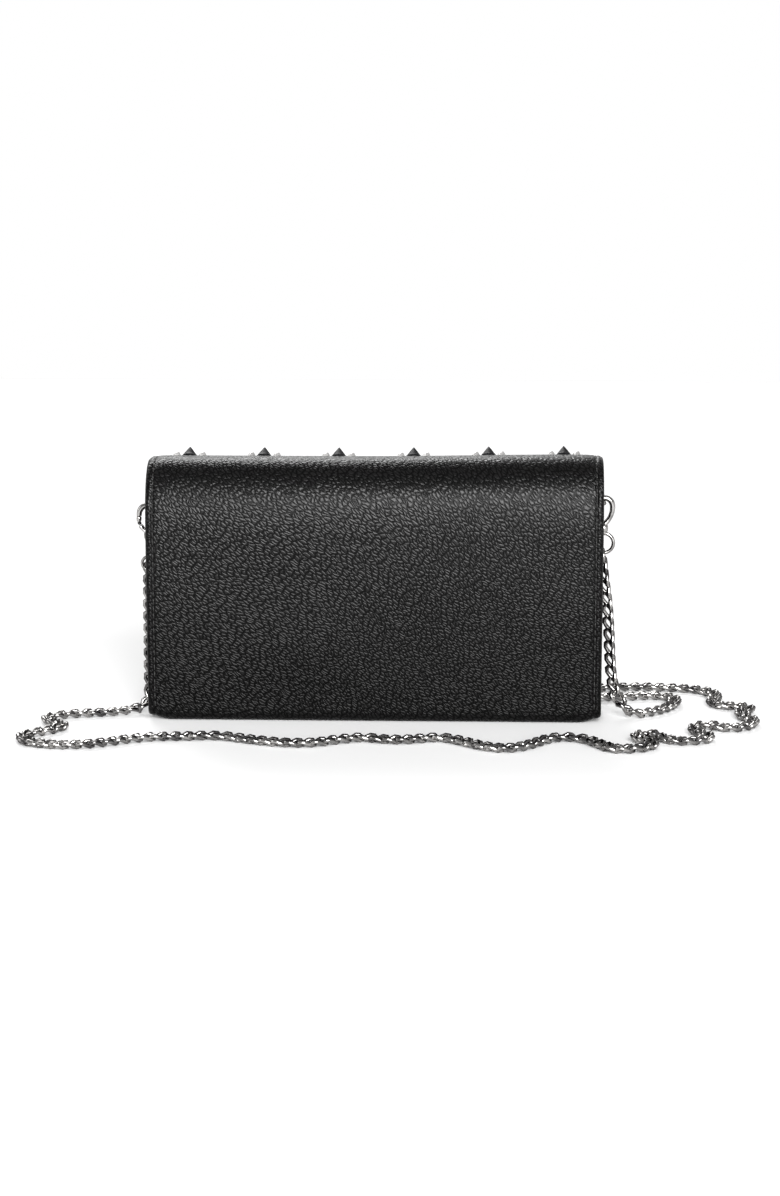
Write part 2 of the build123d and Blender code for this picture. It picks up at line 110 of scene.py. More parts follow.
# --- the chain: links in millimetres, route in metres ---
LINK_PITCH = 5.25
LINK_LENGTH = 9.5
LINK_WIDTH = 5.6
LINK_WIRE = 1.9
LINK_TWIST = 0.95
LINK_SKEW = 0.36
HANG_TURN_DEG = 50.0
CHAIN_LIES = 0.0018
DOWN_LEFT = [
    (0.096, 0.0, 0.0612), (0.0962, 0.0002, 0.049), (0.0962, 0.0008, 0.017), (0.0966, 0.0022, 0.005),
    (0.102, 0.005, 0.0024),
]
ON_FLOOR = [
    (0.112, 0.0085), (0.123, 0.011), (0.132, 0.0135), (0.1375, 0.0195), (0.1355, 0.027), (0.128, 0.033),
    (0.132, 0.04), (0.138, 0.045), (0.1425, 0.0515), (0.141, 0.059), (0.134, 0.0635), (0.125, 0.0655),
    (0.1155, 0.0645), (0.1065, 0.0605), (0.098, 0.0545), (0.088, 0.0505), (0.076, 0.05), (0.0645, 0.0475),
    (0.0545, 0.0515), (0.044, 0.0565), (0.033, 0.0595), (0.0225, 0.059), (0.013, 0.053), (0.0035, 0.0485),
    (-0.007, 0.053), (-0.0175, 0.052), (-0.0275, 0.047), (-0.037, 0.0535), (-0.046, 0.0625), (-0.056, 0.066),
    (-0.065, 0.0595), (-0.075, 0.045), (-0.086, 0.047), (-0.0925, 0.056), (-0.098, 0.065), (-0.106, 0.064),
    (-0.114, 0.06), (-0.114, 0.0525), (-0.109, 0.049), (-0.1095, 0.042), (-0.113, 0.037), (-0.1175, 0.044),
    (-0.1225, 0.05), (-0.131, 0.0505), (-0.1385, 0.0465), (-0.137, 0.0385), (-0.133, 0.0345), (-0.134, 0.0265),
    (-0.1385, 0.0215), (-0.143, 0.026), (-0.149, 0.028), (-0.157, 0.024), (-0.1595, 0.014), (-0.156, 0.008),
    (-0.1545, 0.002), (-0.1585, -0.003), (-0.159, -0.0105), (-0.153, -0.0125), (-0.1465, -0.0135),
    (-0.145, -0.0195), (-0.1475, -0.0265), (-0.146, -0.038), (-0.138, -0.044), (-0.127, -0.0465),
    (-0.1145, -0.0475), (-0.1, -0.045), (-0.08, -0.0415), (-0.052, -0.045), (-0.016, -0.0415), (0.02, -0.046),
    (0.048, -0.0455), (0.066, -0.051), (0.081, -0.051), (0.0895, -0.0395), (0.083, -0.0275), (0.067, -0.024),
    (0.04, -0.0265), (0.006, -0.0235), (-0.028, -0.026), (-0.058, -0.0235), (-0.082, -0.026), (-0.098, -0.027),
    (-0.109, -0.028), (-0.118, -0.0305), (-0.1245, -0.03), (-0.129, -0.024), (-0.1285, -0.015),
    (-0.124, -0.006), (-0.1185, -0.0005), (-0.1105, 0.0045),
]
UP_RIGHT = [
    (-0.1045, 0.003, 0.0045), (-0.102, 0.001, 0.011), (-0.1002, 0.0, 0.019), (-0.0988, 0.0002, 0.046),
    (-0.0972, 0.0, 0.056), (-0.096, 0.0, 0.0654),
]
CHAIN_ROUTE = DOWN_LEFT + [(x, y, CHAIN_LIES) for x, y in ON_FLOOR] + UP_RIGHT


# --- materials ---

GRAIN_SLANT_DEG = 40.0
GRAIN_PER_M = (380.0, 860.0, 1.0)
GRAIN_DEPTH = 0.105

def add(tree, kind, inputs=None, **settings):
    """Adds a node, sets its properties, and sets or links its inputs."""
    node = tree.nodes.new(kind)
    for key, value in settings.items():
        setattr(node, key, value)
    for key, value in (inputs or {}).items():
        if isinstance(value, bpy.types.NodeSocket):
            tree.links.new(value, node.inputs[key])
        else:
            node.inputs[key].default_value = value
    return node


def blank_finish(name, **shader):
    """A material with one Principled shader, whose constant sockets are set here."""
    finish = bpy.data.materials.new(name)
    finish.use_nodes = True
    tree = finish.node_tree
    surface = tree.nodes["Principled BSDF"]
    for key, value in shader.items():
        surface.inputs[key.replace("_", " ")].default_value = value
    return finish, tree, surface


def turned_coords(tree, source="object", scale=(1, 1, 1), turn_deg=0.0):
    """Object or UV coordinates, scaled and turned. source is "object" or the name of a UV map."""
    if source == "object":
        base = add(tree, "ShaderNodeTexCoord").outputs["Object"]
    else:
        base = add(tree, "ShaderNodeUVMap", uv_map=source).outputs["UV"]
    mapping = add(tree, "ShaderNodeMapping", {"Vector": base})
    mapping.inputs["Rotation"].default_value = (0, 0, math.radians(turn_deg))
    mapping.inputs["Scale"].default_value = scale
    return mapping.outputs["Vector"]


def cloudy(tree, coords, scale, detail=3.0):
    return add(tree, "ShaderNodeTexNoise", {"Vector": coords, "Scale": scale, "Detail": detail}).outputs["Fac"]


def stretched(tree, value, low, high, to_low=0.0, to_high=1.0):
    """Eases a value's range onto another."""
    found = {"Value": value, "From Min": low, "From Max": high, "To Min": to_low, "To Max": to_high}
    return add(tree, "ShaderNodeMapRange", found, interpolation_type="SMOOTHSTEP").outputs["Result"]


def maths(tree, operation, first, second):
    return add(tree, "ShaderNodeMath", {0: first, 1: second}, operation=operation).outputs[0]


def between(tree, factor, dark, light):
    """Colour that goes from dark to light with a factor."""
    mix = add(tree, "ShaderNodeMix", data_type="RGBA")
    tree.links.new(factor, mix.inputs["Factor"])
    mix.inputs["A"].default_value = (*dark, 1)
    mix.inputs["B"].default_value = (*light, 1)
    return mix.outputs["Result"]


def painted(tree, surface, colour, rough, height, depth_mm, strength):
    """Links colour and roughness, and a bump from a height, to a shader."""
    found = {"Height": height, "Distance": depth_mm * MM, "Strength": strength}
    tree.links.new(colour, surface.inputs["Base Color"])
    tree.links.new(rough, surface.inputs["Roughness"])
    tree.links.new(add(tree, "ShaderNodeBump", found).outputs["Normal"], surface.inputs["Normal"])


def pebbled_leather():
    """Tumbled cowhide: long slanting pebbles with fine creases between them."""
    finish, tree, surface = blank_finish("pebbled_black_leather", IOR=1.45)
    flat = turned_coords(tree, "cut")
    pull = add(tree, "ShaderNodeTexNoise", {"Vector": flat, "Scale": 260.0, "Detail": 2.0})
    wander = add(tree, "ShaderNodeVectorMath", {0: pull.outputs["Color"], 1: (0.5, 0.5, 0.5)},
                 operation="SUBTRACT").outputs[0]
    wander = add(tree, "ShaderNodeVectorMath", {0: wander, "Scale": 0.0016}, operation="SCALE").outputs[0]
    sweep = add(tree, "ShaderNodeTexNoise", {"Vector": flat, "Scale": 9.0, "Detail": 0.0})
    swept = add(tree, "ShaderNodeVectorMath", {0: sweep.outputs["Color"], "Scale": 0.022},
                operation="SCALE").outputs[0]
    bent = add(tree, "ShaderNodeVectorMath", {0: flat, 1: wander}, operation="ADD").outputs[0]
    bent = add(tree, "ShaderNodeVectorMath", {0: bent, 1: swept}, operation="ADD").outputs[0]
    slant = add(tree, "ShaderNodeMapping", {"Vector": bent})
    slant.inputs["Rotation"].default_value = (0, 0, math.radians(-GRAIN_SLANT_DEG))
    grain = add(tree, "ShaderNodeMapping", {"Vector": slant.outputs["Vector"]})
    grain.inputs["Scale"].default_value = GRAIN_PER_M
    cells = add(tree, "ShaderNodeTexVoronoi", {"Vector": grain.outputs["Vector"], "Scale": 1.0},
                feature="DISTANCE_TO_EDGE", voronoi_dimensions="2D")
    crease = stretched(tree, cells.outputs["Distance"], 0.0, 0.4)
    lumps = cloudy(tree, bent, 900.0, 2.0)
    pores = cloudy(tree, bent, 4200.0, 2.0)
    height = maths(tree, "ADD", crease, maths(tree, "MULTIPLY", lumps, 0.35))
    height = maths(tree, "ADD", height, maths(tree, "MULTIPLY", pores, 0.12))
    wear = cloudy(tree, flat, 22.0, 4.0)
    # Painted shade: the specular level falls towards the bottom of the wallet, so the lower panel looks darker.
    place = add(tree, "ShaderNodeSeparateXYZ", {"Vector": turned_coords(tree)})
    low_shade_and_mottle = stretched(tree, place.outputs["Z"], 0.0, 0.1, 0.45, 1.0)
    # Painted shade: the specular level is lowered in the creases.
    shine = maths(tree, "MULTIPLY", stretched(tree, crease, 0.0, 0.7, 0.08, 0.225), low_shade_and_mottle)
    tree.links.new(shine, surface.inputs["Specular IOR Level"])
    # Painted shade: the base colour is darkest along the creases, mixed with a real random wear tone.
    crease_shade_and_wear = maths(tree, "MULTIPLY", crease, wear)
    painted(tree, surface, between(tree, crease_shade_and_wear, (0.001, 0.001, 0.001), (0.006, 0.0057, 0.0057)),
            stretched(tree, wear, 0.3, 0.7, 0.31, 0.26), height, GRAIN_DEPTH, 1.0)
    return finish


def smooth_leather():
    """Thin black calf for slots, gussets and tabs, with a fine print."""
    finish, tree, surface = blank_finish("fine_black_leather", IOR=1.45, Specular_IOR_Level=0.4)
    coords = turned_coords(tree)
    cells = add(tree, "ShaderNodeTexVoronoi", {"Vector": coords, "Scale": 1500.0}, feature="DISTANCE_TO_EDGE")
    print_lines = stretched(tree, cells.outputs["Distance"], 0.0, 0.22)
    low_shade_and_mottle = cloudy(tree, coords, 45.0, 4.0)
    painted(tree, surface, between(tree, low_shade_and_mottle, (0.006, 0.0055, 0.0055), (0.016, 0.015, 0.0145)),
            stretched(tree, low_shade_and_mottle, 0.3, 0.7, 0.5, 0.4), print_lines, 0.05, 0.6)
    return finish


def mottled(name, scale, detail, tones, dark, light, rough, depth_mm, strength, **shader):
    """One noise drives the colour, the roughness and the bump. tones narrows the colour's range."""
    finish, tree, surface = blank_finish(name, **shader)
    mottle = cloudy(tree, turned_coords(tree), scale, detail)
    tone = stretched(tree, mottle, *tones) if tones else mottle
    painted(tree, surface, between(tree, tone, dark, light), stretched(tree, mottle, *rough), mottle,
            depth_mm, strength)
    return finish


def woven(name, per_m, dark, light, rough):
    """Plain weave of warp and weft threads."""
    finish, tree, surface = blank_finish(name, Sheen_Weight=0.25, Sheen_Roughness=0.5, Specular_IOR_Level=0.3)
    coords = turned_coords(tree, "cut")
    pair = []
    for axis in ("X", "Y"):
        wave = add(tree, "ShaderNodeTexWave", {"Vector": coords, "Scale": per_m, "Distortion": 0.6,
                                               "Detail": 1.0}, bands_direction=axis)
        pair.append(wave.outputs["Fac"])
    over = maths(tree, "MAXIMUM", pair[0], pair[1])
    fuzz = cloudy(tree, coords, 900.0, 3.0)
    shade = maths(tree, "MULTIPLY", over, stretched(tree, fuzz, 0.2, 0.8, 0.6, 1.0))
    painted(tree, surface, between(tree, shade, dark, light),
            stretched(tree, fuzz, 0.2, 0.8, rough, rough + 0.12), over, 0.1, 0.6)
    return finish


def thread_finish():
    """Waxed black thread, with its twist."""
    finish, tree, surface = blank_finish("waxed_black_thread", Sheen_Weight=0.05, Specular_IOR_Level=0.35)
    coords = turned_coords(tree)
    twist = add(tree, "ShaderNodeTexWave", {"Vector": coords, "Scale": 900.0, "Distortion": 1.0},
                bands_direction="DIAGONAL").outputs["Fac"]
    painted(tree, surface, between(tree, twist, (0.003, 0.003, 0.003), (0.01, 0.0095, 0.009)),
            stretched(tree, twist, 0.0, 1.0, 0.55, 0.38), twist, 0.06, 0.6)
    return finish


def metal(name, dark, light, rough, edge=0.4):
    """Plated metal: slow tarnish clouds and short fine scratches."""
    finish, tree, surface = blank_finish(name, Metallic=1.0, Specular_Tint=(edge, edge, edge, 1))
    coords = turned_coords(tree)
    tarnish = cloudy(tree, coords, 160.0, 4.0)
    scratch = cloudy(tree, turned_coords(tree, "object", (300, 2600, 900), 31.0), 1.0, 3.0)
    painted(tree, surface, between(tree, stretched(tree, tarnish, 0.3, 0.7), dark, light),
            stretched(tree, scratch, 0.35, 0.75, rough, rough + 0.12), scratch, 0.008, 0.4)
    return finish


grain_leather = pebbled_leather()
fine_leather = smooth_leather()
edge_dye = mottled("black_edge_paint", 500.0, 4.0, None, (0.002, 0.002, 0.002), (0.008, 0.0075, 0.007),
                   (0.3, 0.7, 0.34, 0.5), 0.05, 0.5, IOR=1.46, Specular_IOR_Level=0.45)
lining_cloth = woven("black_twill_lining", 420.0, (0.008, 0.008, 0.009), (0.035, 0.034, 0.036), 0.62)
tape_cloth = woven("zipper_tape_weave", 560.0, (0.006, 0.006, 0.006), (0.028, 0.028, 0.029), 0.6)
thread = thread_finish()
bright_nickel = metal("bright_nickel", (0.56, 0.555, 0.55), (0.7, 0.69, 0.68), 0.2, edge=0.8)
satin_nickel = metal("satin_nickel", (0.7, 0.69, 0.68), (0.84, 0.83, 0.82), 0.42, edge=0.9)
dark_nickel = metal("dark_nickel", (0.4, 0.39, 0.39), (0.62, 0.61, 0.6), 0.1)
chain_nickel = metal("chain_dark_nickel", (0.11, 0.107, 0.107), (0.42, 0.41, 0.4), 0.1)
clasp_nickel = metal("clasp_nickel", (0.2, 0.195, 0.19), (0.46, 0.45, 0.44), 0.12)
black_nickel = metal("black_nickel", (0.02, 0.02, 0.021), (0.06, 0.06, 0.062), 0.22)
black_lacquer = mottled("black_lacquer", 420.0, 4.0, (0.5, 0.75), (0.004, 0.004, 0.0045),
                        (0.016, 0.016, 0.017), (0.3, 0.7, 0.38, 0.5), 0.02, 0.4, IOR=1.45,
                        Specular_IOR_Level=0.08)
fibre = mottled("pressed_fibre", 1400.0, 5.0, (0.35, 0.65), (0.03, 0.028, 0.026), (0.09, 0.085, 0.08),
                (0.2, 0.8, 0.7, 0.9), 0.05, 0.5, Specular_IOR_Level=0.25)
LEATHER_SIDES = (grain_leather, fine_leather, edge_dye)


# --- drawing helpers ---

def smooth(value, low, high):
    """0 at low, 1 at high, eased between them."""
    t = min(max((value - low) / (high - low), 0.0), 1.0)
    return t * t * (3 - 2 * t)


def settle(point):
    """Where a point of the evenly made wallet comes to rest."""
    x, y, z = point
    rear = smooth(y, 2, 13)
    end = min(max((abs(x) - 87) / 8, 0.0), 1.0) ** 2
    droop = CREST_DROOP * end * smooth(z, 86, 109)
    rise = RIGHT_RISE * smooth(-x, -10, 85) * smooth(z, 70, 110)
    curl = BASE_LIFT * smooth(abs(x), 86, 95) * (1 - smooth(z, 3, 14))
    slow = noise.noise(Vector((x * 0.021, z * 0.034, 3.7)))
    panel = smooth(z, 5, 24) * (1 - smooth(z, 96, 107))
    flap = smooth(-y, 10, 15) * smooth(math.hypot(x, z - SNAP_Z), 8, 22) * (1 - smooth(z, 90, 100))
    y += SWELL * slow * panel * rear - 0.35 * SWELL * slow * flap
    return Vector((x, y, z + rise - droop + curl))


def run(start, end, step=CELL):
    """Even points on a straight run, without its last point."""
    start, end = Vector(start), Vector(end)
    count = max(1, round((end - start).length / step))
    return [start.lerp(end, i / count) for i in range(count)]


def bend(centre, radius, from_deg, to_deg, step=1.2):
    """Even points on an arc, without its last point."""
    count = max(2, round(abs(math.radians(to_deg - from_deg)) * radius / step))
    angles = [math.radians(from_deg + (to_deg - from_deg) * i / count) for i in range(count)]
    return [Vector((centre[0] + radius * math.cos(a), centre[1] + radius * math.sin(a))) for a in angles]


def smoothed(points, count):
    """A smooth line through points, with count steps between each two."""
    dense = []
    held = [points[0]] + points + [points[-1]]
    for a, b, c, d in zip(held, held[1:], held[2:], held[3:]):
        for i in range(count):
            t = i / count
            dense.append(0.5 * (2 * b + (c - a) * t + (2 * a - 5 * b + 4 * c - d) * t ** 2
                                + (3 * b - a - 3 * c + d) * t ** 3))
    return dense + [points[-1]]


def eased(points, step):
    """Even points on a smooth line through a few points, both ends kept."""
    dense = smoothed([Vector(p) for p in points], 12)
    lengths = [0.0]
    for a, b in zip(dense, dense[1:]):
        lengths.append(lengths[-1] + (b - a).length)
    count = max(2, round(lengths[-1] / step))
    found, k = [], 0
    for i in range(count + 1):
        want = lengths[-1] * i / count
        while k < len(dense) - 2 and lengths[k + 1] < want:
            k += 1
        share = (want - lengths[k]) / max(lengths[k + 1] - lengths[k], 1e-9)
        found.append(dense[k].lerp(dense[k + 1], min(max(share, 0.0), 1.0)))
    return found


def inner_side(line, depth):
    """The line inner to its left by a depth."""
    inner = []
    for i, p in enumerate(line):
        ahead = line[min(i + 1, len(line) - 1)] - line[max(i - 1, 0)]
        left = Vector((-ahead.y, ahead.x)).normalized()
        inner.append(p + left * depth)
    return inner


def as_object(name, mesh, *finishes):
    piece = bpy.data.objects.new(name, mesh)
    bpy.context.scene.collection.objects.link(piece)
    for finish in finishes:
        mesh.materials.append(finish)
    return piece


def fitted(piece, body, node):
    """Says which body a piece moves with, which CAD node it replaces."""
    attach(piece, body)
    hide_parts(node)


def divided(low, high, count):
    return [low + (high - low) * i / count for i in range(count + 1)]


def spread(low, high, step=CELL):
    return divided(low, high, max(1, round((high - low) / step)))


def line_length(line):
    return sum((b - a).length for a, b in zip(line, line[1:]))


def closed_sheet(name, line, thickness, across, place, finishes, v_start=0.0, soft_ends=(True, True),
                 seamed=False):
    """A sheet with two faces and a rounded rim. across(i) gives the cross positions of row i,
    place(u, point) puts a cross position and a line point in the wallet's frame."""
    under = inner_side(line, thickness)
    rows = [across(i) for i in range(len(line))]
    n_rows, n_cols = len(rows), len(rows[0])
    along = [v_start]
    for a, b in zip(line, line[1:]):
        along.append(along[-1] + (b - a).length)
    mesh = bpy.data.meshes.new(name)
    builder = bmesh.new()
    cut = builder.loops.layers.uv.new("cut")
    tops, bottoms, where = {}, {}, {}
    for i in range(n_rows):
        for j in range(n_cols):
            u = rows[i][j]
            dip = seam_dip(min(abs(u - rows[i][0]), abs(u - rows[i][-1]))) / thickness if seamed else 0.0
            outer = line[i].lerp(under[i], dip)
            for side, source in ((tops, outer), (bottoms, under[i])):
                spot = settle(place(u, source))
                side[i, j] = builder.verts.new(spot * MM)
                where[side[i, j]] = (u * MM, along[i] * MM)
    mids = {}

    def mid(i, j):
        """Rim vertex between the two faces, pushed out a little."""
        if (i, j) not in mids:
            u, p = rows[i][j], (line[i] + under[i]) / 2
            out_u = 0.3 * thickness * ((j == n_cols - 1) - (j == 0))
            out_row = Vector((0, 0))
            if i == 0 and soft_ends[0]:
                out_row = (line[0] - line[1]).normalized() * 0.3 * thickness
            if i == n_rows - 1 and soft_ends[1]:
                out_row = (line[-1] - line[-2]).normalized() * 0.3 * thickness
            side = 1 if rows[i][-1] > rows[i][0] else -1
            mids[i, j] = builder.verts.new(settle(place(u + out_u * side, p + out_row)) * MM)
            where[mids[i, j]] = where[tops[i, j]]
        return mids[i, j]

    for i in range(n_rows - 1):
        for j in range(n_cols - 1):
            quad = [(i, j), (i + 1, j), (i + 1, j + 1), (i, j + 1)]
            builder.faces.new([tops[q] for q in quad]).material_index = 0
            builder.faces.new([bottoms[q] for q in reversed(quad)]).material_index = 1
    rim = [(0, j) for j in range(n_cols)] + [(i, n_cols - 1) for i in range(1, n_rows)]
    rim += [(n_rows - 1, j) for j in range(n_cols - 2, -1, -1)] + [(i, 0) for i in range(n_rows - 2, 0, -1)]
    for a, b in zip(rim, rim[1:] + rim[:1]):
        builder.faces.new([tops[a], tops[b], mid(*b), mid(*a)]).material_index = 2
        builder.faces.new([mid(*a), mid(*b), bottoms[b], bottoms[a]]).material_index = 2
    bmesh.ops.recalc_face_normals(builder, faces=builder.faces)
    for face in builder.faces:
        face.smooth = True
        for loop in face.loops:
            loop[cut].uv = where[loop.vert]
    builder.to_mesh(mesh)
    builder.free()
    mesh.set_sharp_from_angle(angle=math.radians(50))
    return as_object(name, mesh, *finishes)


def baked(obj):
    """Applies what a piece's modifiers do and takes them off."""
    depsgraph = bpy.context.evaluated_depsgraph_get()
    mesh = bpy.data.meshes.new_from_object(obj.evaluated_get(depsgraph), depsgraph=depsgraph)
    obj.modifiers.clear()
    obj.data = mesh
    mesh.name = obj.name


def punched(obj, radius, y, z, depth):
    """Cuts a round hole through a sheet, along Y."""
    punch_mesh = bpy.data.meshes.new("punch")
    builder = bmesh.new()
    bmesh.ops.create_cone(builder, cap_ends=True, segments=40, radius1=radius * MM, radius2=radius * MM,
                          depth=depth * MM)
    for vert in builder.verts:
        vert.co = Vector((vert.co.x, y * MM + vert.co.z, z * MM + vert.co.y))
    bmesh.ops.recalc_face_normals(builder, faces=builder.faces)
    builder.to_mesh(punch_mesh)
    builder.free()
    punch = as_object("punch", punch_mesh)
    cutter = obj.modifiers.new("hole", "BOOLEAN")
    cutter.object = punch
    cutter.operation = "DIFFERENCE"
    baked(obj)
    bpy.data.objects.remove(punch)


# --- Geometry Nodes for what repeats ---

def node_tree(name, sockets):
    """An empty geometry tree with named inputs, and its input and output nodes."""
    tree = bpy.data.node_groups.new(name, "GeometryNodeTree")
    tree.interface.new_socket("Geometry", in_out="INPUT", socket_type="NodeSocketGeometry")
    for label, kind in sockets:
        tree.interface.new_socket(label, in_out="INPUT", socket_type=kind)
    tree.interface.new_socket("Geometry", in_out="OUTPUT", socket_type="NodeSocketGeometry")
    return tree, tree.nodes.new("NodeGroupInput"), tree.nodes.new("NodeGroupOutput")


def faced_rotation(tree, along, face):
    """Turns X along a line and Z out of the surface."""
    first = add(tree, "FunctionNodeAlignRotationToVector", {"Vector": along}, axis="X")
    second = add(tree, "FunctionNodeAlignRotationToVector", {"Rotation": first.outputs[0], "Vector": face},
                 axis="Z", pivot_axis="X")
    return second.outputs[0]


def set_elements(tree, given, result, points, stand, angle):
    """Sets the element on every point, turned about its own Z, as painted real geometry."""
    turn = add(tree, "FunctionNodeAxisAngleToRotation", {"Axis": (0, 0, 1), "Angle": angle})
    turned = add(tree, "FunctionNodeRotateRotation", {"Rotation": stand, "Rotate By": turn.outputs[0]},
                 rotation_space="LOCAL")
    element = add(tree, "GeometryNodeObjectInfo", {"Object": given.outputs["Element"]})
    placed = add(tree, "GeometryNodeInstanceOnPoints", {
        "Points": points, "Instance": element.outputs["Geometry"], "Rotation": turned.outputs[0]})
    real = add(tree, "GeometryNodeRealizeInstances", {"Geometry": placed.outputs[0]})
    coated = add(tree, "GeometryNodeSetMaterial", {"Geometry": real.outputs[0],
                                                   "Material": given.outputs["Material"]})
    tree.links.new(coated.outputs[0], result.inputs["Geometry"])


def line_tree():
    """Repeats one element along a line: stitches, links and teeth."""
    tree, given, result = node_tree("repeat_along_line", [
        ("Element", "NodeSocketObject"), ("Spacing", "NodeSocketFloat"), ("Lift", "NodeSocketFloat"),
        ("Skew", "NodeSocketFloat"), ("Uneven", "NodeSocketFloat"), ("Seed", "NodeSocketInt"),
        ("Material", "NodeSocketMaterial")])
    line = add(tree, "GeometryNodeMeshToCurve", {"Mesh": given.outputs["Geometry"]})
    even = add(tree, "GeometryNodeResampleCurve", {"Curve": line.outputs[0]}, mode="LENGTH")
    tree.links.new(given.outputs["Spacing"], even.inputs["Length"])
    face = add(tree, "GeometryNodeInputNamedAttribute", {"Name": "face"}, data_type="FLOAT_VECTOR")
    along = add(tree, "GeometryNodeInputTangent")
    rotation = faced_rotation(tree, along.outputs[0], face.outputs[0])
    tilt = add(tree, "FunctionNodeRandomValue", {"Seed": given.outputs["Seed"]}, data_type="FLOAT")
    least = maths(tree, "MULTIPLY", given.outputs["Uneven"], -1.0)
    tree.links.new(least, tilt.inputs[2])
    tree.links.new(given.outputs["Uneven"], tilt.inputs[3])
    angle = maths(tree, "ADD", tilt.outputs[1], given.outputs["Skew"])
    raise_by = add(tree, "ShaderNodeVectorMath", {0: face.outputs[0], "Scale": given.outputs["Lift"]},
                   operation="SCALE")
    lifted = add(tree, "GeometryNodeSetPosition", {"Geometry": even.outputs[0], "Offset": raise_by.outputs[0]})
    set_elements(tree, given, result, lifted.outputs[0], rotation, angle)
    return tree


def point_tree():
    """Sets one element on every point, standing along the point's face vector: studs."""
    tree, given, result = node_tree("set_on_points", [
        ("Element", "NodeSocketObject"), ("Turn", "NodeSocketFloat"), ("Seed", "NodeSocketInt"),
        ("Material", "NodeSocketMaterial")])
    face = add(tree, "GeometryNodeInputNamedAttribute", {"Name": "face"}, data_type="FLOAT_VECTOR")
    stand = add(tree, "FunctionNodeAlignRotationToVector", {"Vector": face.outputs[0]}, axis="Z")
    spin = add(tree, "FunctionNodeRandomValue", {"Seed": given.outputs["Seed"]}, data_type="FLOAT")
    tree.links.new(given.outputs["Turn"], spin.inputs[3])
    dots = add(tree, "GeometryNodeMeshToPoints", {"Mesh": given.outputs["Geometry"]})
    set_elements(tree, given, result, dots.outputs[0], stand.outputs[0], spin.outputs[1])
    return tree


along_line = line_tree()
on_points = point_tree()


def guide(name, runs):
    """A mesh of lines, or of loose points. Each run is a list of (place, face) pairs in millimetres."""
    mesh = bpy.data.meshes.new(name)
    spots, edges, faces = [], [], []
    for one in runs:
        for i, (spot, face) in enumerate(one):
            if i:
                edges.append((len(spots) - 1, len(spots)))
            spots.append(spot * MM)
            faces.append(face)
    mesh.from_pydata(spots, edges, [])
    stored = mesh.attributes.new("face", "FLOAT_VECTOR", "POINT")
    stored.data.foreach_set("vector", [c for face in faces for c in face])
    return as_object(name, mesh)


def repeated(name, tree, guide_object, finish, element, **values):
    """Runs a tree on a guide and keeps the result as one plain mesh."""
    maker = guide_object.modifiers.new("repeat", "NODES")
    maker.node_group = tree
    keys = {item.name: item.identifier for item in tree.interface.items_tree if item.in_out == "INPUT"}
    maker[keys["Element"]] = element
    maker[keys["Material"]] = finish
    for label, value in values.items():
        maker[keys[label]] = value
    guide_object.name = name
    baked(guide_object)
    return guide_object


def swept_mesh(name, rings, closed=True):
    """A tube through rings of points, capped unless it is a closed loop."""
    mesh = bpy.data.meshes.new(name)
    builder = bmesh.new()
    loops = [[builder.verts.new(p * MM) for p in ring] for ring in rings]
    pairs = list(zip(loops, loops[1:] + loops[:1])) if closed else list(zip(loops, loops[1:]))
    count = len(loops[0])
    for a, b in pairs:
        for k in range(count):
            builder.faces.new([a[k], a[(k + 1) % count], b[(k + 1) % count], b[k]])
    if not closed:
        builder.faces.new(list(reversed(loops[0])))
        builder.faces.new(loops[-1])
    bmesh.ops.recalc_face_normals(builder, faces=builder.faces)
    for face in builder.faces:
        face.smooth = True
    builder.to_mesh(mesh)
    builder.free()
    return mesh


def round_angles(sides, offset=0.0):
    return [2 * math.pi * (k + offset) / sides for k in range(sides)]


def turned_shape(name, profile, sides):
    """A shape turned on a lathe about Z. The profile goes from the foot's centre to the tip."""
    rings = [[Vector((radius * math.cos(a), radius * math.sin(a), z)) for a in round_angles(sides)]
             for radius, z in profile]
    mesh = swept_mesh(name, rings, closed=False)
    mesh.set_sharp_from_angle(angle=math.radians(38))
    return as_object(name, mesh)


def curb_link():
    """One twisted oval link, long way on X, lying flat on Z."""
    steps, sides = 12, 6
    half_long = (LINK_LENGTH - LINK_WIRE) / 2
    half_wide = (LINK_WIDTH - LINK_WIRE) / 2
    rings = []
    for i in range(steps):
        t = 2 * math.pi * i / steps
        spot = Vector((half_long * math.cos(t), half_wide * math.sin(t), LINK_TWIST * math.sin(2 * t)))
        ahead = Vector((-half_long * math.sin(t), half_wide * math.cos(t),
                        2 * LINK_TWIST * math.cos(2 * t))).normalized()
        out = Vector((spot.x, spot.y, 0)).normalized()
        out = (out - ahead * out.dot(ahead)).normalized()
        up = ahead.cross(out)
        rings.append([spot + (out * math.cos(a) + up * math.sin(a)) * LINK_WIRE / 2
                      for a in round_angles(sides, 0.5)])
    return as_object("curb_link", swept_mesh("curb_link", rings))


def stitch_element():
    """One stitch: a short thread that dives into the leather at both ends."""
    rings = []
    for x, z, r in ((-1.25, -0.25, 0.12), (-0.95, 0.02, 0.24), (0.0, 0.1, 0.29), (0.95, 0.02, 0.24),
                    (1.25, -0.25, 0.12)):
        rings.append([Vector((x, r * math.cos(a), z + r * math.sin(a))) for a in round_angles(6)])
    return as_object("stitch", swept_mesh("stitch", rings, closed=False))


def tooth_element():
    """One zipper tooth: a body that grips the tape and a round head."""
    rings = []
    for y, half_x, half_z in ((-0.75, 0.42, 0.62), (-0.2, 0.42, 0.66), (0.1, 0.3, 0.5), (0.35, 0.42, 0.55),
                              (0.62, 0.2, 0.35)):
        corners = [(-1, -0.6), (-0.6, -1), (0.6, -1), (1, -0.6), (1, 0.6), (0.6, 1), (-0.6, 1), (-1, 0.6)]
        rings.append([Vector((cx * half_x, y, cz * half_z)) for cx, cz in corners])
    return as_object("tooth", swept_mesh("tooth", rings, closed=False))


# --- camera, lights, floor ---

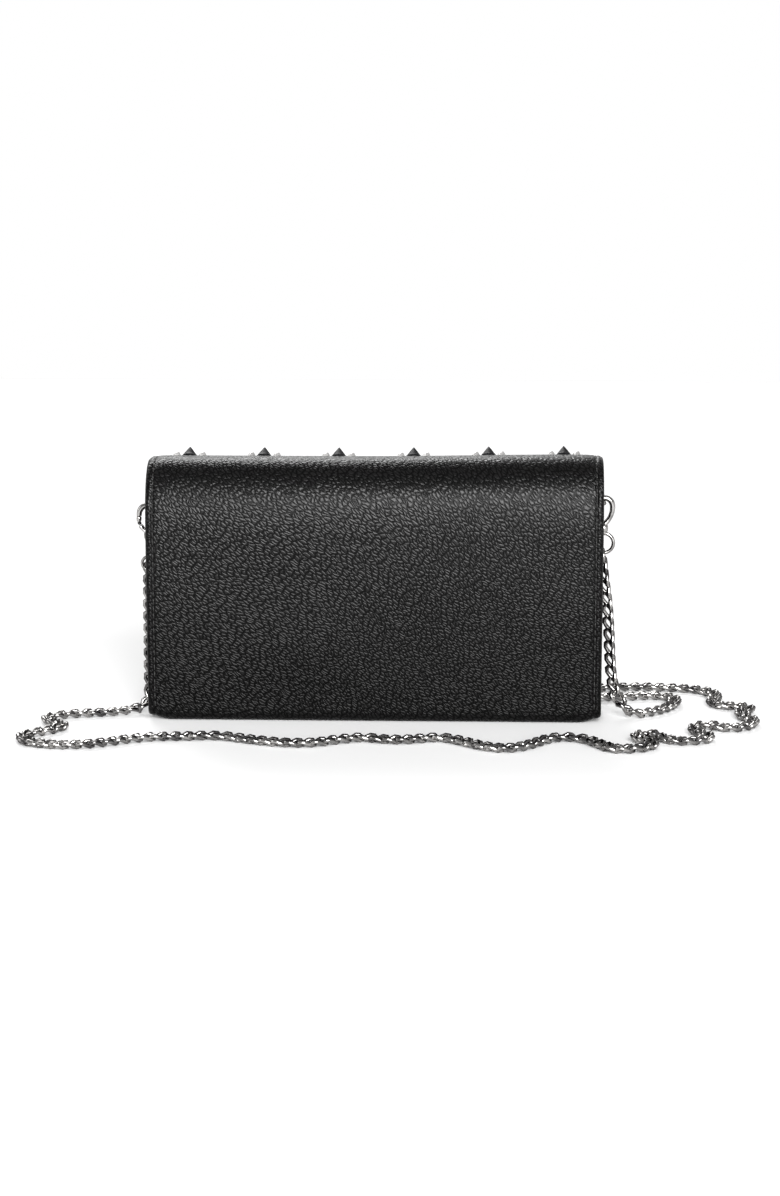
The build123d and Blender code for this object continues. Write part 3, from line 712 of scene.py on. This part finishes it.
LENS_MM = 78.2
CAMERA_SIDE_DEG = 2.0
CAMERA_UP_DEG = 11.0
CAMERA_AWAY = 1100.0
CAMERA_LOOKS_AT = (-6.2, 0.0, 50.4)
LIT_SPOT = (0.0, 0.0, 0.06)
SOFTBOXES = [
    ("softbox_rear", (-0.42, 2.3, 0.98), (1.55, 1.5), 160.0),
    ("softbox_front", (0.6, -2.0, 1.7), (1.6, 1.2), 48.0),
    ("softbox_left", (2.2, 0.2, 1.0), (0.9, 1.2), 9.0),
]
SKY_FADE = (0.08, 0.36)
SKY_TOP = (0.42, 0.42, 0.42)
FLOOR_HALF = 1.3


def studio():
    scene = bpy.context.scene
    scene.view_settings.view_transform = "Standard"
    eye = bpy.data.cameras.new("camera")
    eye.sensor_fit = "VERTICAL"
    eye.sensor_height = 36.0
    eye.lens = LENS_MM
    camera = bpy.data.objects.new("camera", eye)
    scene.collection.objects.link(camera)
    side, up = math.radians(CAMERA_SIDE_DEG), math.radians(CAMERA_UP_DEG)
    away = Vector((-math.sin(side) * math.cos(up), math.cos(side) * math.cos(up), math.sin(up)))
    target = Vector(CAMERA_LOOKS_AT)
    camera.location = (target + away * CAMERA_AWAY) * MM
    camera.rotation_mode = "QUATERNION"
    camera.rotation_quaternion = (-away).to_track_quat("-Z", "Y")
    scene.camera = camera
    for name, place, size, power in SOFTBOXES:
        lamp = bpy.data.lights.new(name, "AREA")
        lamp.shape = "RECTANGLE"
        lamp.size, lamp.size_y = size
        lamp.energy = power
        holder = bpy.data.objects.new(name, lamp)
        scene.collection.objects.link(holder)
        holder.location = place
        holder.rotation_mode = "QUATERNION"
        holder.rotation_quaternion = (Vector(LIT_SPOT) - Vector(place)).to_track_quat("-Z", "Y")
    room()


def room():
    """Bright near the horizon and dimmer overhead."""
    world = bpy.data.worlds.new("studio")
    bpy.context.scene.world = world
    world.use_nodes = True
    tree = world.node_tree
    way = add(tree, "ShaderNodeTexCoord").outputs["Generated"]
    height = add(tree, "ShaderNodeSeparateXYZ", {"Vector": way}).outputs["Z"]
    shade = stretched(tree, height, *SKY_FADE)
    sky = between(tree, shade, (1.0, 1.0, 1.0), SKY_TOP)
    tree.links.new(sky, tree.nodes["Background"].inputs["Color"])


def floor():
    finish, tree, surface = blank_finish("studio_floor", Roughness=0.75, Specular_IOR_Level=0.15)
    coords = turned_coords(tree)
    paper = cloudy(tree, coords, 3.0, 2.0)
    tree.links.new(between(tree, paper, (0.69, 0.69, 0.69), (0.71, 0.71, 0.71)), surface.inputs["Base Color"])
    mesh = bpy.data.meshes.new("floor")
    half = FLOOR_HALF
    mesh.from_pydata([(-half, -half, 0), (half, -half, 0), (half, half, 0), (-half, half, 0)], [],
                     [(0, 1, 2, 3)])
    as_object("floor", mesh, finish)


# --- chain ---

def chain():
    """Curb links along one smooth line, from one jump ring to the other."""
    curve = bpy.data.curves.new("chain_route", "CURVE")
    curve.dimensions = "3D"
    line = curve.splines.new("NURBS")
    line.points.add(len(CHAIN_ROUTE) - 1)
    for point, spot in zip(line.points, CHAIN_ROUTE):
        point.co = (*spot, 1)
    line.order_u = 3
    line.use_endpoint_u = True
    route = bpy.data.objects.new("chain_route", curve)
    bpy.context.scene.collection.objects.link(route)
    bpy.context.view_layer.update()
    depsgraph = bpy.context.evaluated_depsgraph_get()
    read = bpy.data.meshes.new_from_object(route.evaluated_get(depsgraph))
    spots = [v.co.copy() for v in read.vertices]
    bpy.data.objects.remove(route)
    runs = [(p / MM, flat_way(p)) for p in spots]
    links = repeated("chain_links", along_line, guide("chain_guide", [runs]), chain_nickel, curb_link(),
                     Spacing=LINK_PITCH * MM, Lift=0.0, Skew=LINK_SKEW, Uneven=0.03, Seed=3)
    fitted(links, "wallet", "chain")


def flat_way(spot):
    """Which way the links' flat side looks: up on the floor, out to the back where they hang."""
    hang = smooth(spot.z / MM, 3, 16) * math.pi / 2
    turn = math.radians(HANG_TURN_DEG)
    return Vector((math.sin(hang) * math.sin(turn), math.sin(hang) * math.cos(turn), math.cos(hang)))


# --- leather body ---

def body_line():
    """Outer face from the front wall's top, round the base, up the back and over to the spine seam."""
    line = run((WALL_Y, WALL_TOP), (WALL_Y, BASE_R))
    line += bend((WALL_Y + BASE_R, BASE_R), BASE_R, 180, 270)
    line += run((WALL_Y + BASE_R, 0), (BACK_Y - BASE_R, 0))
    line += bend((BACK_Y - BASE_R, BASE_R), BASE_R, 270, 360)
    line += run((BACK_Y, BASE_R), REAR_ROLL[0])
    return line + rear_roll()


def rear_roll():
    """The soft roll from the upright back to the spine seam."""
    return eased(REAR_ROLL + [(SEAM_Y, FOLD_Z + TOP_R)], 1.35)


def back_y(z):
    """How far back the settled rear face is at a height."""
    for (y0, z0), (y1, z1) in zip(REAR_ROLL, REAR_ROLL[1:]):
        if z <= z1:
            return y0 + (y1 - y0) * min(max((z - z0) / (z1 - z0), 0.0), 1.0)
    return REAR_ROLL[-1][0]


def leaned(x, y, z):
    """A point of something that lies against the back, moved in with it."""
    return (x, y - (BACK_Y - back_y(z)) * smooth(y, 2, 13), z)


def front_line(bottom):
    """Outer face from the spine seam over the front fold and down the flap."""
    line = run((SEAM_Y, FOLD_Z + TOP_R), (FRONT_Y + TOP_R, FOLD_Z + TOP_R), 0.5)
    line += bend((FRONT_Y + TOP_R, FOLD_Z), TOP_R, 90, 180)
    line += run((FRONT_Y, FOLD_Z), (FRONT_Y, bottom + FLAP_CORNER_R))
    return line + run((FRONT_Y, bottom + FLAP_CORNER_R), (FRONT_Y, bottom), 1.1) + [Vector((FRONT_Y, bottom))]


def on_section(u, p):
    """A cross position along X and a point of the YZ section."""
    return (u, p.x, p.y)


def top_half(z):
    """Half width of the flap's leather, which is as wide as the body on the spine."""
    return HALF_W - (HALF_W - FLAP_HALF_W) * (1 - smooth(z, 92, 109))


def flap_half(z, bottom, margin):
    """Half width of the flap, with its round lower corners."""
    half, corner = top_half(z) - margin, FLAP_CORNER_R - margin
    low = bottom + corner - z
    if low <= 0:
        return half
    return half - corner + math.sqrt(max(corner ** 2 - low ** 2, 0.0))


def rear_bend(piece):
    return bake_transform(piece)


def front_bend(piece):
    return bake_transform(piece)


def even_across(half):
    """Cross positions from one edge to the other, the same count on every row."""
    edge = [-half + d for d in EDGE_STEPS]
    return edge[:-1] + divided(edge[-1], -edge[-1], ACROSS_CELLS) + [-d for d in reversed(edge[:-1])]


def seam_dip(from_edge):
    """How deep the outer face lies below flat: a rolled edge, a slight ridge and the stitched groove."""
    rolled = 0.3 * math.exp(-(from_edge / 0.5) ** 2)
    ridge = 0.12 * math.exp(-((from_edge - 1.25) / 0.5) ** 2)
    groove = 0.34 * math.exp(-((from_edge - STITCH_INSET) / 0.42) ** 2)
    return rolled - ridge + groove


def leather_body():
    line = body_line()
    sheet = closed_sheet("body_leather", line, LEATHER, lambda i: even_across(HALF_W), on_section,
                         LEATHER_SIDES, soft_ends=(True, False), seamed=True)
    punched(sheet, SNAP_R - 0.05, WALL_Y, SNAP_Z, 5.0)
    rear_bend(sheet)
    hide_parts("outer_shell", "flap_spine_leather")
    flap = front_line(FLAP_BOTTOM)
    front = closed_sheet("flap_leather", flap, LEATHER,
                         lambda i: even_across(flap_half(flap[i].y, FLAP_BOTTOM, 0)), on_section,
                         LEATHER_SIDES, v_start=line_length(line), soft_ends=(False, True), seamed=True)
    front_bend(front)
    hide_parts("flap_front_leather")


def inner_layers():
    """Board and lining in the flap, and the lining of the body."""
    for word, depth, thickness, margin, finish, slot in (
            ("board", LEATHER, BOARD, 2.5, fibre, "fibre_board"),
            ("lining", LEATHER + BOARD, LINING - 0.1, 1.2, lining_cloth, "lining_cloth")):
        finishes = (finish, finish, edge_dye if word == "lining" else fibre)
        rear = inner_side([p for p in rear_roll() if p.y > 99], depth)
        rear_sheet = closed_sheet("spine_" + word, rear, thickness, lambda i: even_across(HALF_W - margin),
                                  on_section, finishes, soft_ends=(True, False))
        rear_bend(rear_sheet)
        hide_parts("flap_spine_" + word)
        bottom = FLAP_BOTTOM + margin
        flap = inner_side(front_line(bottom), depth)
        flap_sheet = closed_sheet("flap_" + word, flap, thickness,
                                  lambda i: even_across(flap_half(flap[i].y, bottom, margin)), on_section,
                                  finishes, soft_ends=(False, True))
        punched(flap_sheet, SNAP_R + 0.02, FRONT_Y + 2, SNAP_Z, 6.0)
        front_bend(flap_sheet)
        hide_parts("flap_front_" + word)
    line = [p for p in inner_side(body_line(), LEATHER) if p.y < (WALL_TOP - 0.5 if p.x < 0 else 98.0)]
    sheet = closed_sheet("body_lining", line, LINING, lambda i: even_across(HALF_W - 0.6), on_section,
                         (lining_cloth, lining_cloth, edge_dye))
    rear_bend(sheet)
    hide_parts("shell_lining")


def gussets():
    """Folded ends: a wing on each wall and a centre strip folded inwards."""
    for word, side in (("left", 1), ("right", -1)):
        bends = [(94.4, 13.9), (92.0, 13.6), (89.6, 10.4), (86.9, 6.8), (86.6, 4.0), (86.6, -1.5),
                 (86.9, -4.8), (89.6, -7.6), (92.0, -10.5), (94.4, -10.9)]
        line = eased(bends, 1.1)
        levels = spread(2.6, 95.6)
        sheet = closed_sheet("gusset_fold_" + word, line, GUSSET, lambda i: levels,
                             lambda u, p: leaned(side * gusset_x(p.x, u), p.y, u),
                             (fine_leather, fine_leather, edge_dye))
        fitted(sheet, "wallet", "gusset_" + word)


def gusset_x(x, z):
    """The centre strip folds in less near the base and bows a little at mid height."""
    inward = (94.4 - x) / 8.0
    return x + inward * (2.2 * (1 - smooth(z, 2, 30)) - 0.8 * math.sin(math.pi * min(z / 96, 1)))


def ring_tabs():
    """Leather straps folded round the D-rings' bars and sewn on the gussets."""
    for word, side in (("left", 1), ("right", -1)):
        z = BAR_Z[word]
        bends = [(88.9, z - 14), (88.9, z - 10.5), (89.2, z - 7.0), (90.9, z - 3.4), (92.7, z - 1.6),
                 (93.4, z), (92.85, z + 1.35), (91.5, z + 1.9), (90.15, z + 1.35), (89.6, z),
                 (89.3, z - 2.2), (87.7, z - 6.4), (87.15, z - 10.5), (87.15, z - 14)]
        line = eased(bends, 0.55)
        sheet = closed_sheet("ring_strap_" + word, line, STRAP, lambda i: spread(-3.7, 3.7, 0.75),
                             lambda u, p: (side * p.x, u, p.y), (fine_leather, fine_leather, edge_dye))
        fitted(sheet, "wallet", "ring_tab_" + word)


# --- inside ---

def notched_top(x, top):
    """Top edge of a card slot: a thumb notch over each column."""
    radius, rise = 9.0, 5.5
    for centre in (-40, 40):
        off = abs(x - centre)
        if off < radius:
            return min(top, top + rise - math.sqrt(radius ** 2 - off ** 2))
    return top


def card_slots():
    back = BACK_Y - LEATHER - LINING
    columns = spread(-80, -49, 3.0) + spread(-47.5, -32.5, 1.0) + spread(-31, 31, 3.4)
    columns += spread(32.5, 47.5, 1.0) + spread(49, 80, 3.0)     # closer together at the notches
    for layer, (word, top) in enumerate((("top", 82.0), ("middle", 70.0), ("low", 58.0))):
        y = back - layer * SLOT_SHEET - 0.02
        line = run((y, 5.0), (y, top), 2.6) + [Vector((y, top))]

        def place(u, p, top=top):
            return leaned(u, p.x, 5.0 + (p.y - 5.0) * (notched_top(u, top) - 5.0) / (top - 5.0))
        sheet = closed_sheet("card_slot_" + word, line, SLOT_SHEET - 0.06, lambda i: columns, place,
                             (fine_leather, fine_leather, edge_dye))
        fitted(sheet, "wallet", "card_panel_" + word)


def pockets():
    front = WALL_Y + LEATHER + LINING + 0.04
    line = run((front, 74.0), (front, 5.0), 2.6) + [Vector((front, 5.0))]
    sheet = closed_sheet("note_pocket", line, SLOT_SHEET - 0.06, lambda i: spread(-82, 82, 3.2), on_section,
                         (fine_leather, fine_leather, edge_dye))
    fitted(sheet, "wallet", "slip_pocket")
    low, high = ZIP_Y - ZIP_HALF_DEPTH, ZIP_Y + ZIP_HALF_DEPTH
    radius = 1.6
    line = run((low, ZIP_TOP), (low, ZIP_FOOT + radius))
    line += bend((low + radius, ZIP_FOOT + radius), radius, 180, 270, 0.6)
    line += run((low + radius, ZIP_FOOT), (high - radius, ZIP_FOOT))
    line += bend((high - radius, ZIP_FOOT + radius), radius, 270, 360, 0.6)
    line += run((high, ZIP_FOOT + radius), (high, ZIP_TOP)) + [Vector((high, ZIP_TOP))]
    sheet = closed_sheet("coin_pocket", line, 0.8, lambda i: spread(-ZIP_HALF_W, ZIP_HALF_W), on_section,
                         (fine_leather, lining_cloth, edge_dye))
    fitted(sheet, "wallet", "zip_pocket")


def zipper():
    tooth = tooth_element()
    for word, side in (("front", -1), ("rear", 1)):
        rear, front = sorted((ZIP_Y + side * 1.7, ZIP_Y + side * ZIP_HALF_DEPTH), reverse=True)
        line = run((rear, ZIP_TOP + 0.5), (front, ZIP_TOP + 0.5), 0.65) + [Vector((front, ZIP_TOP + 0.5))]
        tape = closed_sheet("tape_" + word, line, 0.48, lambda i: spread(-ZIP_HALF_W, ZIP_HALF_W), on_section,
                            (tape_cloth, tape_cloth, tape_cloth))
        fitted(tape, "wallet", "zipper_tape_" + word)
        shift = TOOTH_PITCH / 2 if side > 0 else 0.0
        ends = [Vector((-side * TEETH_HALF_W + shift, ZIP_Y + side * 1.12, ZIP_TOP + 0.3)),
                Vector((side * TEETH_HALF_W + shift, ZIP_Y + side * 1.12, ZIP_TOP + 0.3))]
        up = Vector((0, 0, 1))
        teeth = repeated("teeth_" + word, along_line, guide("teeth_guide", [[(p, up) for p in ends]]),
                         dark_nickel, tooth, Spacing=TOOTH_PITCH * MM, Lift=0.0,
                         Skew=math.pi if side > 0 else 0.0, Uneven=0.01, Seed=5)
        fitted(teeth, "wallet", "zipper_teeth_" + word)
    bpy.data.objects.remove(tooth)


# --- studs ---

def seat(x, y, z, way):
    """A settled place and the way that its surface looks."""
    spot = settle((x, y, z))
    inside = settle((x - way[0], y - way[1], z - way[2]))
    return spot, (spot - inside).normalized()


def row_xs(count):
    return [STUD_PITCH * (i - (count - 1) / 2) for i in range(count)]


def spine_seats(offsets, sink):
    arc = math.radians(STUD_ARC_DEG)
    way = (0, -math.sin(arc), math.cos(arc))
    reach = TOP_R - sink
    y, z = FRONT_Y + TOP_R + reach * way[1], FOLD_Z + reach * way[2]
    return [[seat(x + dx, y, z, way)] for x in row_xs(6) for dx in offsets]


def flap_seats(offsets, sink):
    found = []
    for row, z in enumerate(STUD_ROWS_Z):
        found += [[seat(x + dx, FRONT_Y + sink, z, (0, -1, 0))] for x in row_xs(5 + row % 2) for dx in offsets]
    return found


def studs():
    black = turned_shape("black_cone", [
        (0.01, -0.9), (BLACK_R - 0.1, -0.9), (BLACK_R, -0.8), (BLACK_R, 0.35), (BLACK_R - 0.15, 0.5),
        (2.55, 1.6), (1.4, 3.3), (0.42, 4.62), (0.2, 4.9), (0.01, BLACK_H)], 28)
    steel = turned_shape("steel_cone", [
        (0.01, -0.5), (STEEL_R, -0.5), (STEEL_R, 0.2), (STEEL_R - 0.12, 0.42), (1.62, 1.3), (1.15, 2.15),
        (0.65, 2.58), (0.01, STEEL_H)], 18)
    middle, sides = (0,), (-STEEL_OFFSET, STEEL_OFFSET)
    for name, shape, seats, finish, body, node, slot in (
            ("spine_black_studs", black, spine_seats(middle, 0.0), black_lacquer, "flap_spine",
             "spine_black_cones", "black_metal"),
            ("spine_steel_studs", steel, spine_seats(sides, 0.0), satin_nickel, "flap_spine",
             "spine_steel_cones", "bright_steel"),
            ("flap_black_studs", black, flap_seats(middle, 0.05), black_lacquer, "flap_front",
             "front_black_cones", "black_metal"),
            ("flap_steel_studs", steel, flap_seats(sides, 0.03), satin_nickel, "flap_front",
             "front_steel_cones", "bright_steel")):
        row = repeated(name, on_points, guide("stud_guide", seats), finish, shape, Turn=6.28, Seed=11)
        fitted(row, body, node)
    for shape in (black, steel):
        bpy.data.objects.remove(shape)


# --- stitches ---

def stitched(name, runs, bind):
    seam = repeated(name, along_line, guide("stitch_guide", runs), thread, stitch, Spacing=STITCH_PITCH * MM,
                    Lift=-0.3 * MM, Skew=0.05, Uneven=0.04, Seed=7)
    bind(seam)


def section_run(line, half_of, side):
    """Settled points and face vectors down one side of a section sheet."""
    under = inner_side(line, 1.0)
    found = []
    for p, q in zip(line, under):
        x = side * (half_of(p.y) - STITCH_INSET)
        spot, inside = settle((x, p.x, p.y)), settle((x, q.x, q.y))
        found.append((spot, (spot - inside).normalized()))
    return found


def leaf_run():
    """Round the flap's two lower corners and along its bottom edge."""
    radius = FLAP_CORNER_R - STITCH_INSET
    low = FLAP_BOTTOM + FLAP_CORNER_R
    centre = FLAP_HALF_W - FLAP_CORNER_R
    path = run((FLAP_HALF_W - STITCH_INSET, 94), (FLAP_HALF_W - STITCH_INSET, low))
    path += bend((centre, low), radius, 0, -90)
    path += run((centre, low - radius), (-centre, low - radius))
    path += bend((-centre, low), radius, -90, -180)
    path += run((STITCH_INSET - FLAP_HALF_W, low), (STITCH_INSET - FLAP_HALF_W, 94))
    return [(settle((p.x, FRONT_Y, p.y)), Vector((0, -1, 0))) for p in path]


def stitches():
    line = body_line()
    back = [p for p in line if p.y > 5.0 and p.x > SEAM_Y + 0.5]
    wall = [p for p in line if p.x < -12 and 6 < p.y < 94]
    stitched("stitches_back", [section_run(back, lambda z: HALF_W, s) for s in (1, -1)]
             + [section_run(wall, lambda z: HALF_W, s) for s in (1, -1)], rear_bend)
    fold = [p for p in front_line(FLAP_BOTTOM) if p.y > 95 and p.x < SEAM_Y - 0.5]
    stitched("stitches_flap", [section_run(fold, top_half, s) for s in (1, -1)] + [leaf_run()],
             front_bend)
    stitched("stitches_inside", slot_runs() + strap_runs() + pocket_runs(),
             lambda piece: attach(piece, "wallet"))


def slot_runs():
    """Seams that hold the card slots: both sides, the middle and the bottom."""
    runs = []
    y = BACK_Y - LEATHER - LINING - 3 * SLOT_SHEET
    way = Vector((0, -1, 0))
    for x in (-78, 0, 78):
        for layer, (low, high) in enumerate(((6.5, 56.5), (59.0, 68.5), (71.0, 80.5))):
            runs.append([(settle((x, y + layer * SLOT_SHEET, z)), way) for z in spread(low, high)])
    runs.append([(settle((x, y, 6.8)), way) for x in spread(-78, 78)])
    return runs


def pocket_runs():
    front = WALL_Y + LEATHER + LINING + SLOT_SHEET
    way = Vector((0, 1, 0))
    tape = Vector((0, 0, 1))
    runs = [[(settle((x, front, z)), way) for z in spread(7, 72)] for x in (-80, 80)]
    runs.append([(settle((x, front, 7)), way) for x in spread(-80, 80)])
    for y in (ZIP_Y - 3.5, ZIP_Y + 3.5):
        runs.append([(settle((x, y, ZIP_TOP + 0.5)), tape) for x in spread(-81.5, 81.5)])
    return runs


def strap_runs():
    runs = []
    for word, side in (("left", 1), ("right", -1)):
        z = BAR_Z[word]
        way = Vector((side, 0, 0.12))
        for dz in (-6.8, -12.6):
            runs.append([(settle((side * 89.15, y, z + dz)), way) for y in spread(-3.0, 3.0, 1.0)])
    return runs


# --- clasps ---

def tapered_rod(name, path, sides=16, flat=1.0):
    """A bent rod of changing thickness. Each point is (x, y, z, radius); flat widens it along Y."""
    dense = smoothed([Vector(p[:3]) for p in path], 4)
    radii = [a[3] + (b[3] - a[3]) * k / 4 for a, b in zip(path, path[1:]) for k in range(4)] + [path[-1][3]]
    rings = []
    for i, spot in enumerate(dense):
        ahead = (dense[min(i + 1, len(dense) - 1)] - dense[max(i - 1, 0)]).normalized()
        wide = (Vector((0, 1, 0)) - ahead * ahead.y).normalized()
        out = ahead.cross(wide)
        tip = 0.85 if i in (0, len(dense) - 1) else 1.0
        rings.append([spot + (out * math.cos(a) + wide * flat * math.sin(a)) * radii[i] * tip
                      for a in round_angles(sides)])
    return as_object(name, swept_mesh(name, rings, closed=False))


def joined(name, pieces):
    """Several closed shapes in one piece, each keeping its finish."""
    builder = bmesh.new()
    finishes = []
    for piece, finish in pieces:
        if finish not in finishes:
            finishes.append(finish)
        first = len(builder.faces)
        builder.from_mesh(piece.data)
        builder.faces.ensure_lookup_table()
        for face in builder.faces[first:]:
            face.material_index = finishes.index(finish)
        bpy.data.objects.remove(piece)
    mesh = bpy.data.meshes.new(name)
    builder.to_mesh(mesh)
    builder.free()
    return as_object(name, mesh, *finishes)


def hollow_neck(middle):
    """The clasp's neck, bored for the swivel's headed stem."""
    profile = [(0.9, -8.7), (1.7, -8.7), (1.85, -8.4), (1.85, -6.7), (1.55, -6.1), (1.0, -5.75), (0.25, -5.75),
               (0.25, -6.3), (1.3, -6.45), (1.35, -7.55), (0.9, -7.65)]
    rings = [[middle + Vector((r * math.cos(a), r * math.sin(a), z)) for r, z in profile]
             for a in round_angles(24)]
    mesh = swept_mesh("clasp_neck", rings)
    mesh.set_sharp_from_angle(angle=math.radians(35))
    return as_object("clasp_neck", mesh)


def clasps():
    for word, side in (("left", 1), ("right", -1)):
        def at(x, y, z, r):
            return (side * HANG_X + x, y, HOOK_Z[word] + z, r)
        hook = tapered_rod("clasp_wire", [
            at(3.72, 0, 0.8, 1.05), at(3.72, 0, 1.9, 1.14), at(3.2, 0, 3.6, 1.22), at(1.9, 0, 4.95, 1.2),
            at(0, 0, 5.45, 1.15), at(-1.9, 0, 4.9, 1.2), at(-3.2, 0, 3.5, 1.2), at(-3.6, 0, 1.5, 1.15),
            at(-3.3, 0, -0.9, 1.05), at(-2.4, 0, -3.1, 1.0), at(-1.2, 0, -4.8, 1.1), at(-0.2, 0, -5.9, 1.2)],
            flat=1.2)
        ears = [tapered_rod("clasp_ear", [at(0.6, y, -6.0, 0.75), at(1.9, y, -5.0, 0.62), at(3.0, y, -3.6, 0.8),
                                          at(3.35, y, -3.1, 0.5)], 10, 0.45) for y in (-1.4, 1.4)]
        neck = hollow_neck(Vector((side * HANG_X, 0, HOOK_Z[word])))
        body = joined("clasp_body_" + word, [(hook, clasp_nickel), (ears[0], dark_nickel),
                                             (ears[1], dark_nickel), (neck, clasp_nickel)])
        fitted(body, "wallet", "clasp_hook_" + word)
        gate = tapered_rod("gate_arm", [at(3.72, 0, 0.66, 1.0), at(3.85, 0, -0.3, 1.1), at(3.8, 0, -1.2, 1.0),
                                        at(3.65, -0.1, -1.7, 0.6)], flat=1.2)
        root = tapered_rod("gate_root", [at(3.65, -0.1, -1.5, 0.5), at(3.0, -0.3, -3.6, 0.55),
                                         at(2.2, -0.3, -4.9, 0.4), at(1.7, -0.3, -5.5, 0.3)], 12)
        knob = tapered_rod("gate_knob", [at(3.6, -0.35, -2.5, 0.3), at(3.65, -0.1, -2.3, 0.85),
                                         at(3.7, 0.1, -1.9, 0.85), at(3.7, 0.2, -1.6, 0.4)], 14)
        lever = joined("clasp_gate_" + word, [(gate, clasp_nickel), (root, dark_nickel), (knob, black_nickel)])
        fitted(lever, "lever_" + word, "clasp_lever_" + word)


# --- carried-over CAD metal ---

def finish_cad_metal():
    finishes = {"washers": fibre, "snap_stud": bright_nickel, "snap_socket": bright_nickel,
                "zipper": dark_nickel, "clasp_spring": bright_nickel}
    for name, node in cad.items():
        if node.hide_render:
            continue
        finish = clasp_nickel
        for part, wanted in finishes.items():
            if part in name:
                finish = wanted
        for place in node.material_slots:
            place.material = finish


floor()
studio()
chain()
leather_body()
inner_layers()
gussets()
ring_tabs()
card_slots()
pockets()
zipper()
studs()
stitch = stitch_element()
stitches()
bpy.data.objects.remove(stitch)
bpy.data.objects.remove(bpy.data.objects["curb_link"])
clasps()
finish_cad_metal()
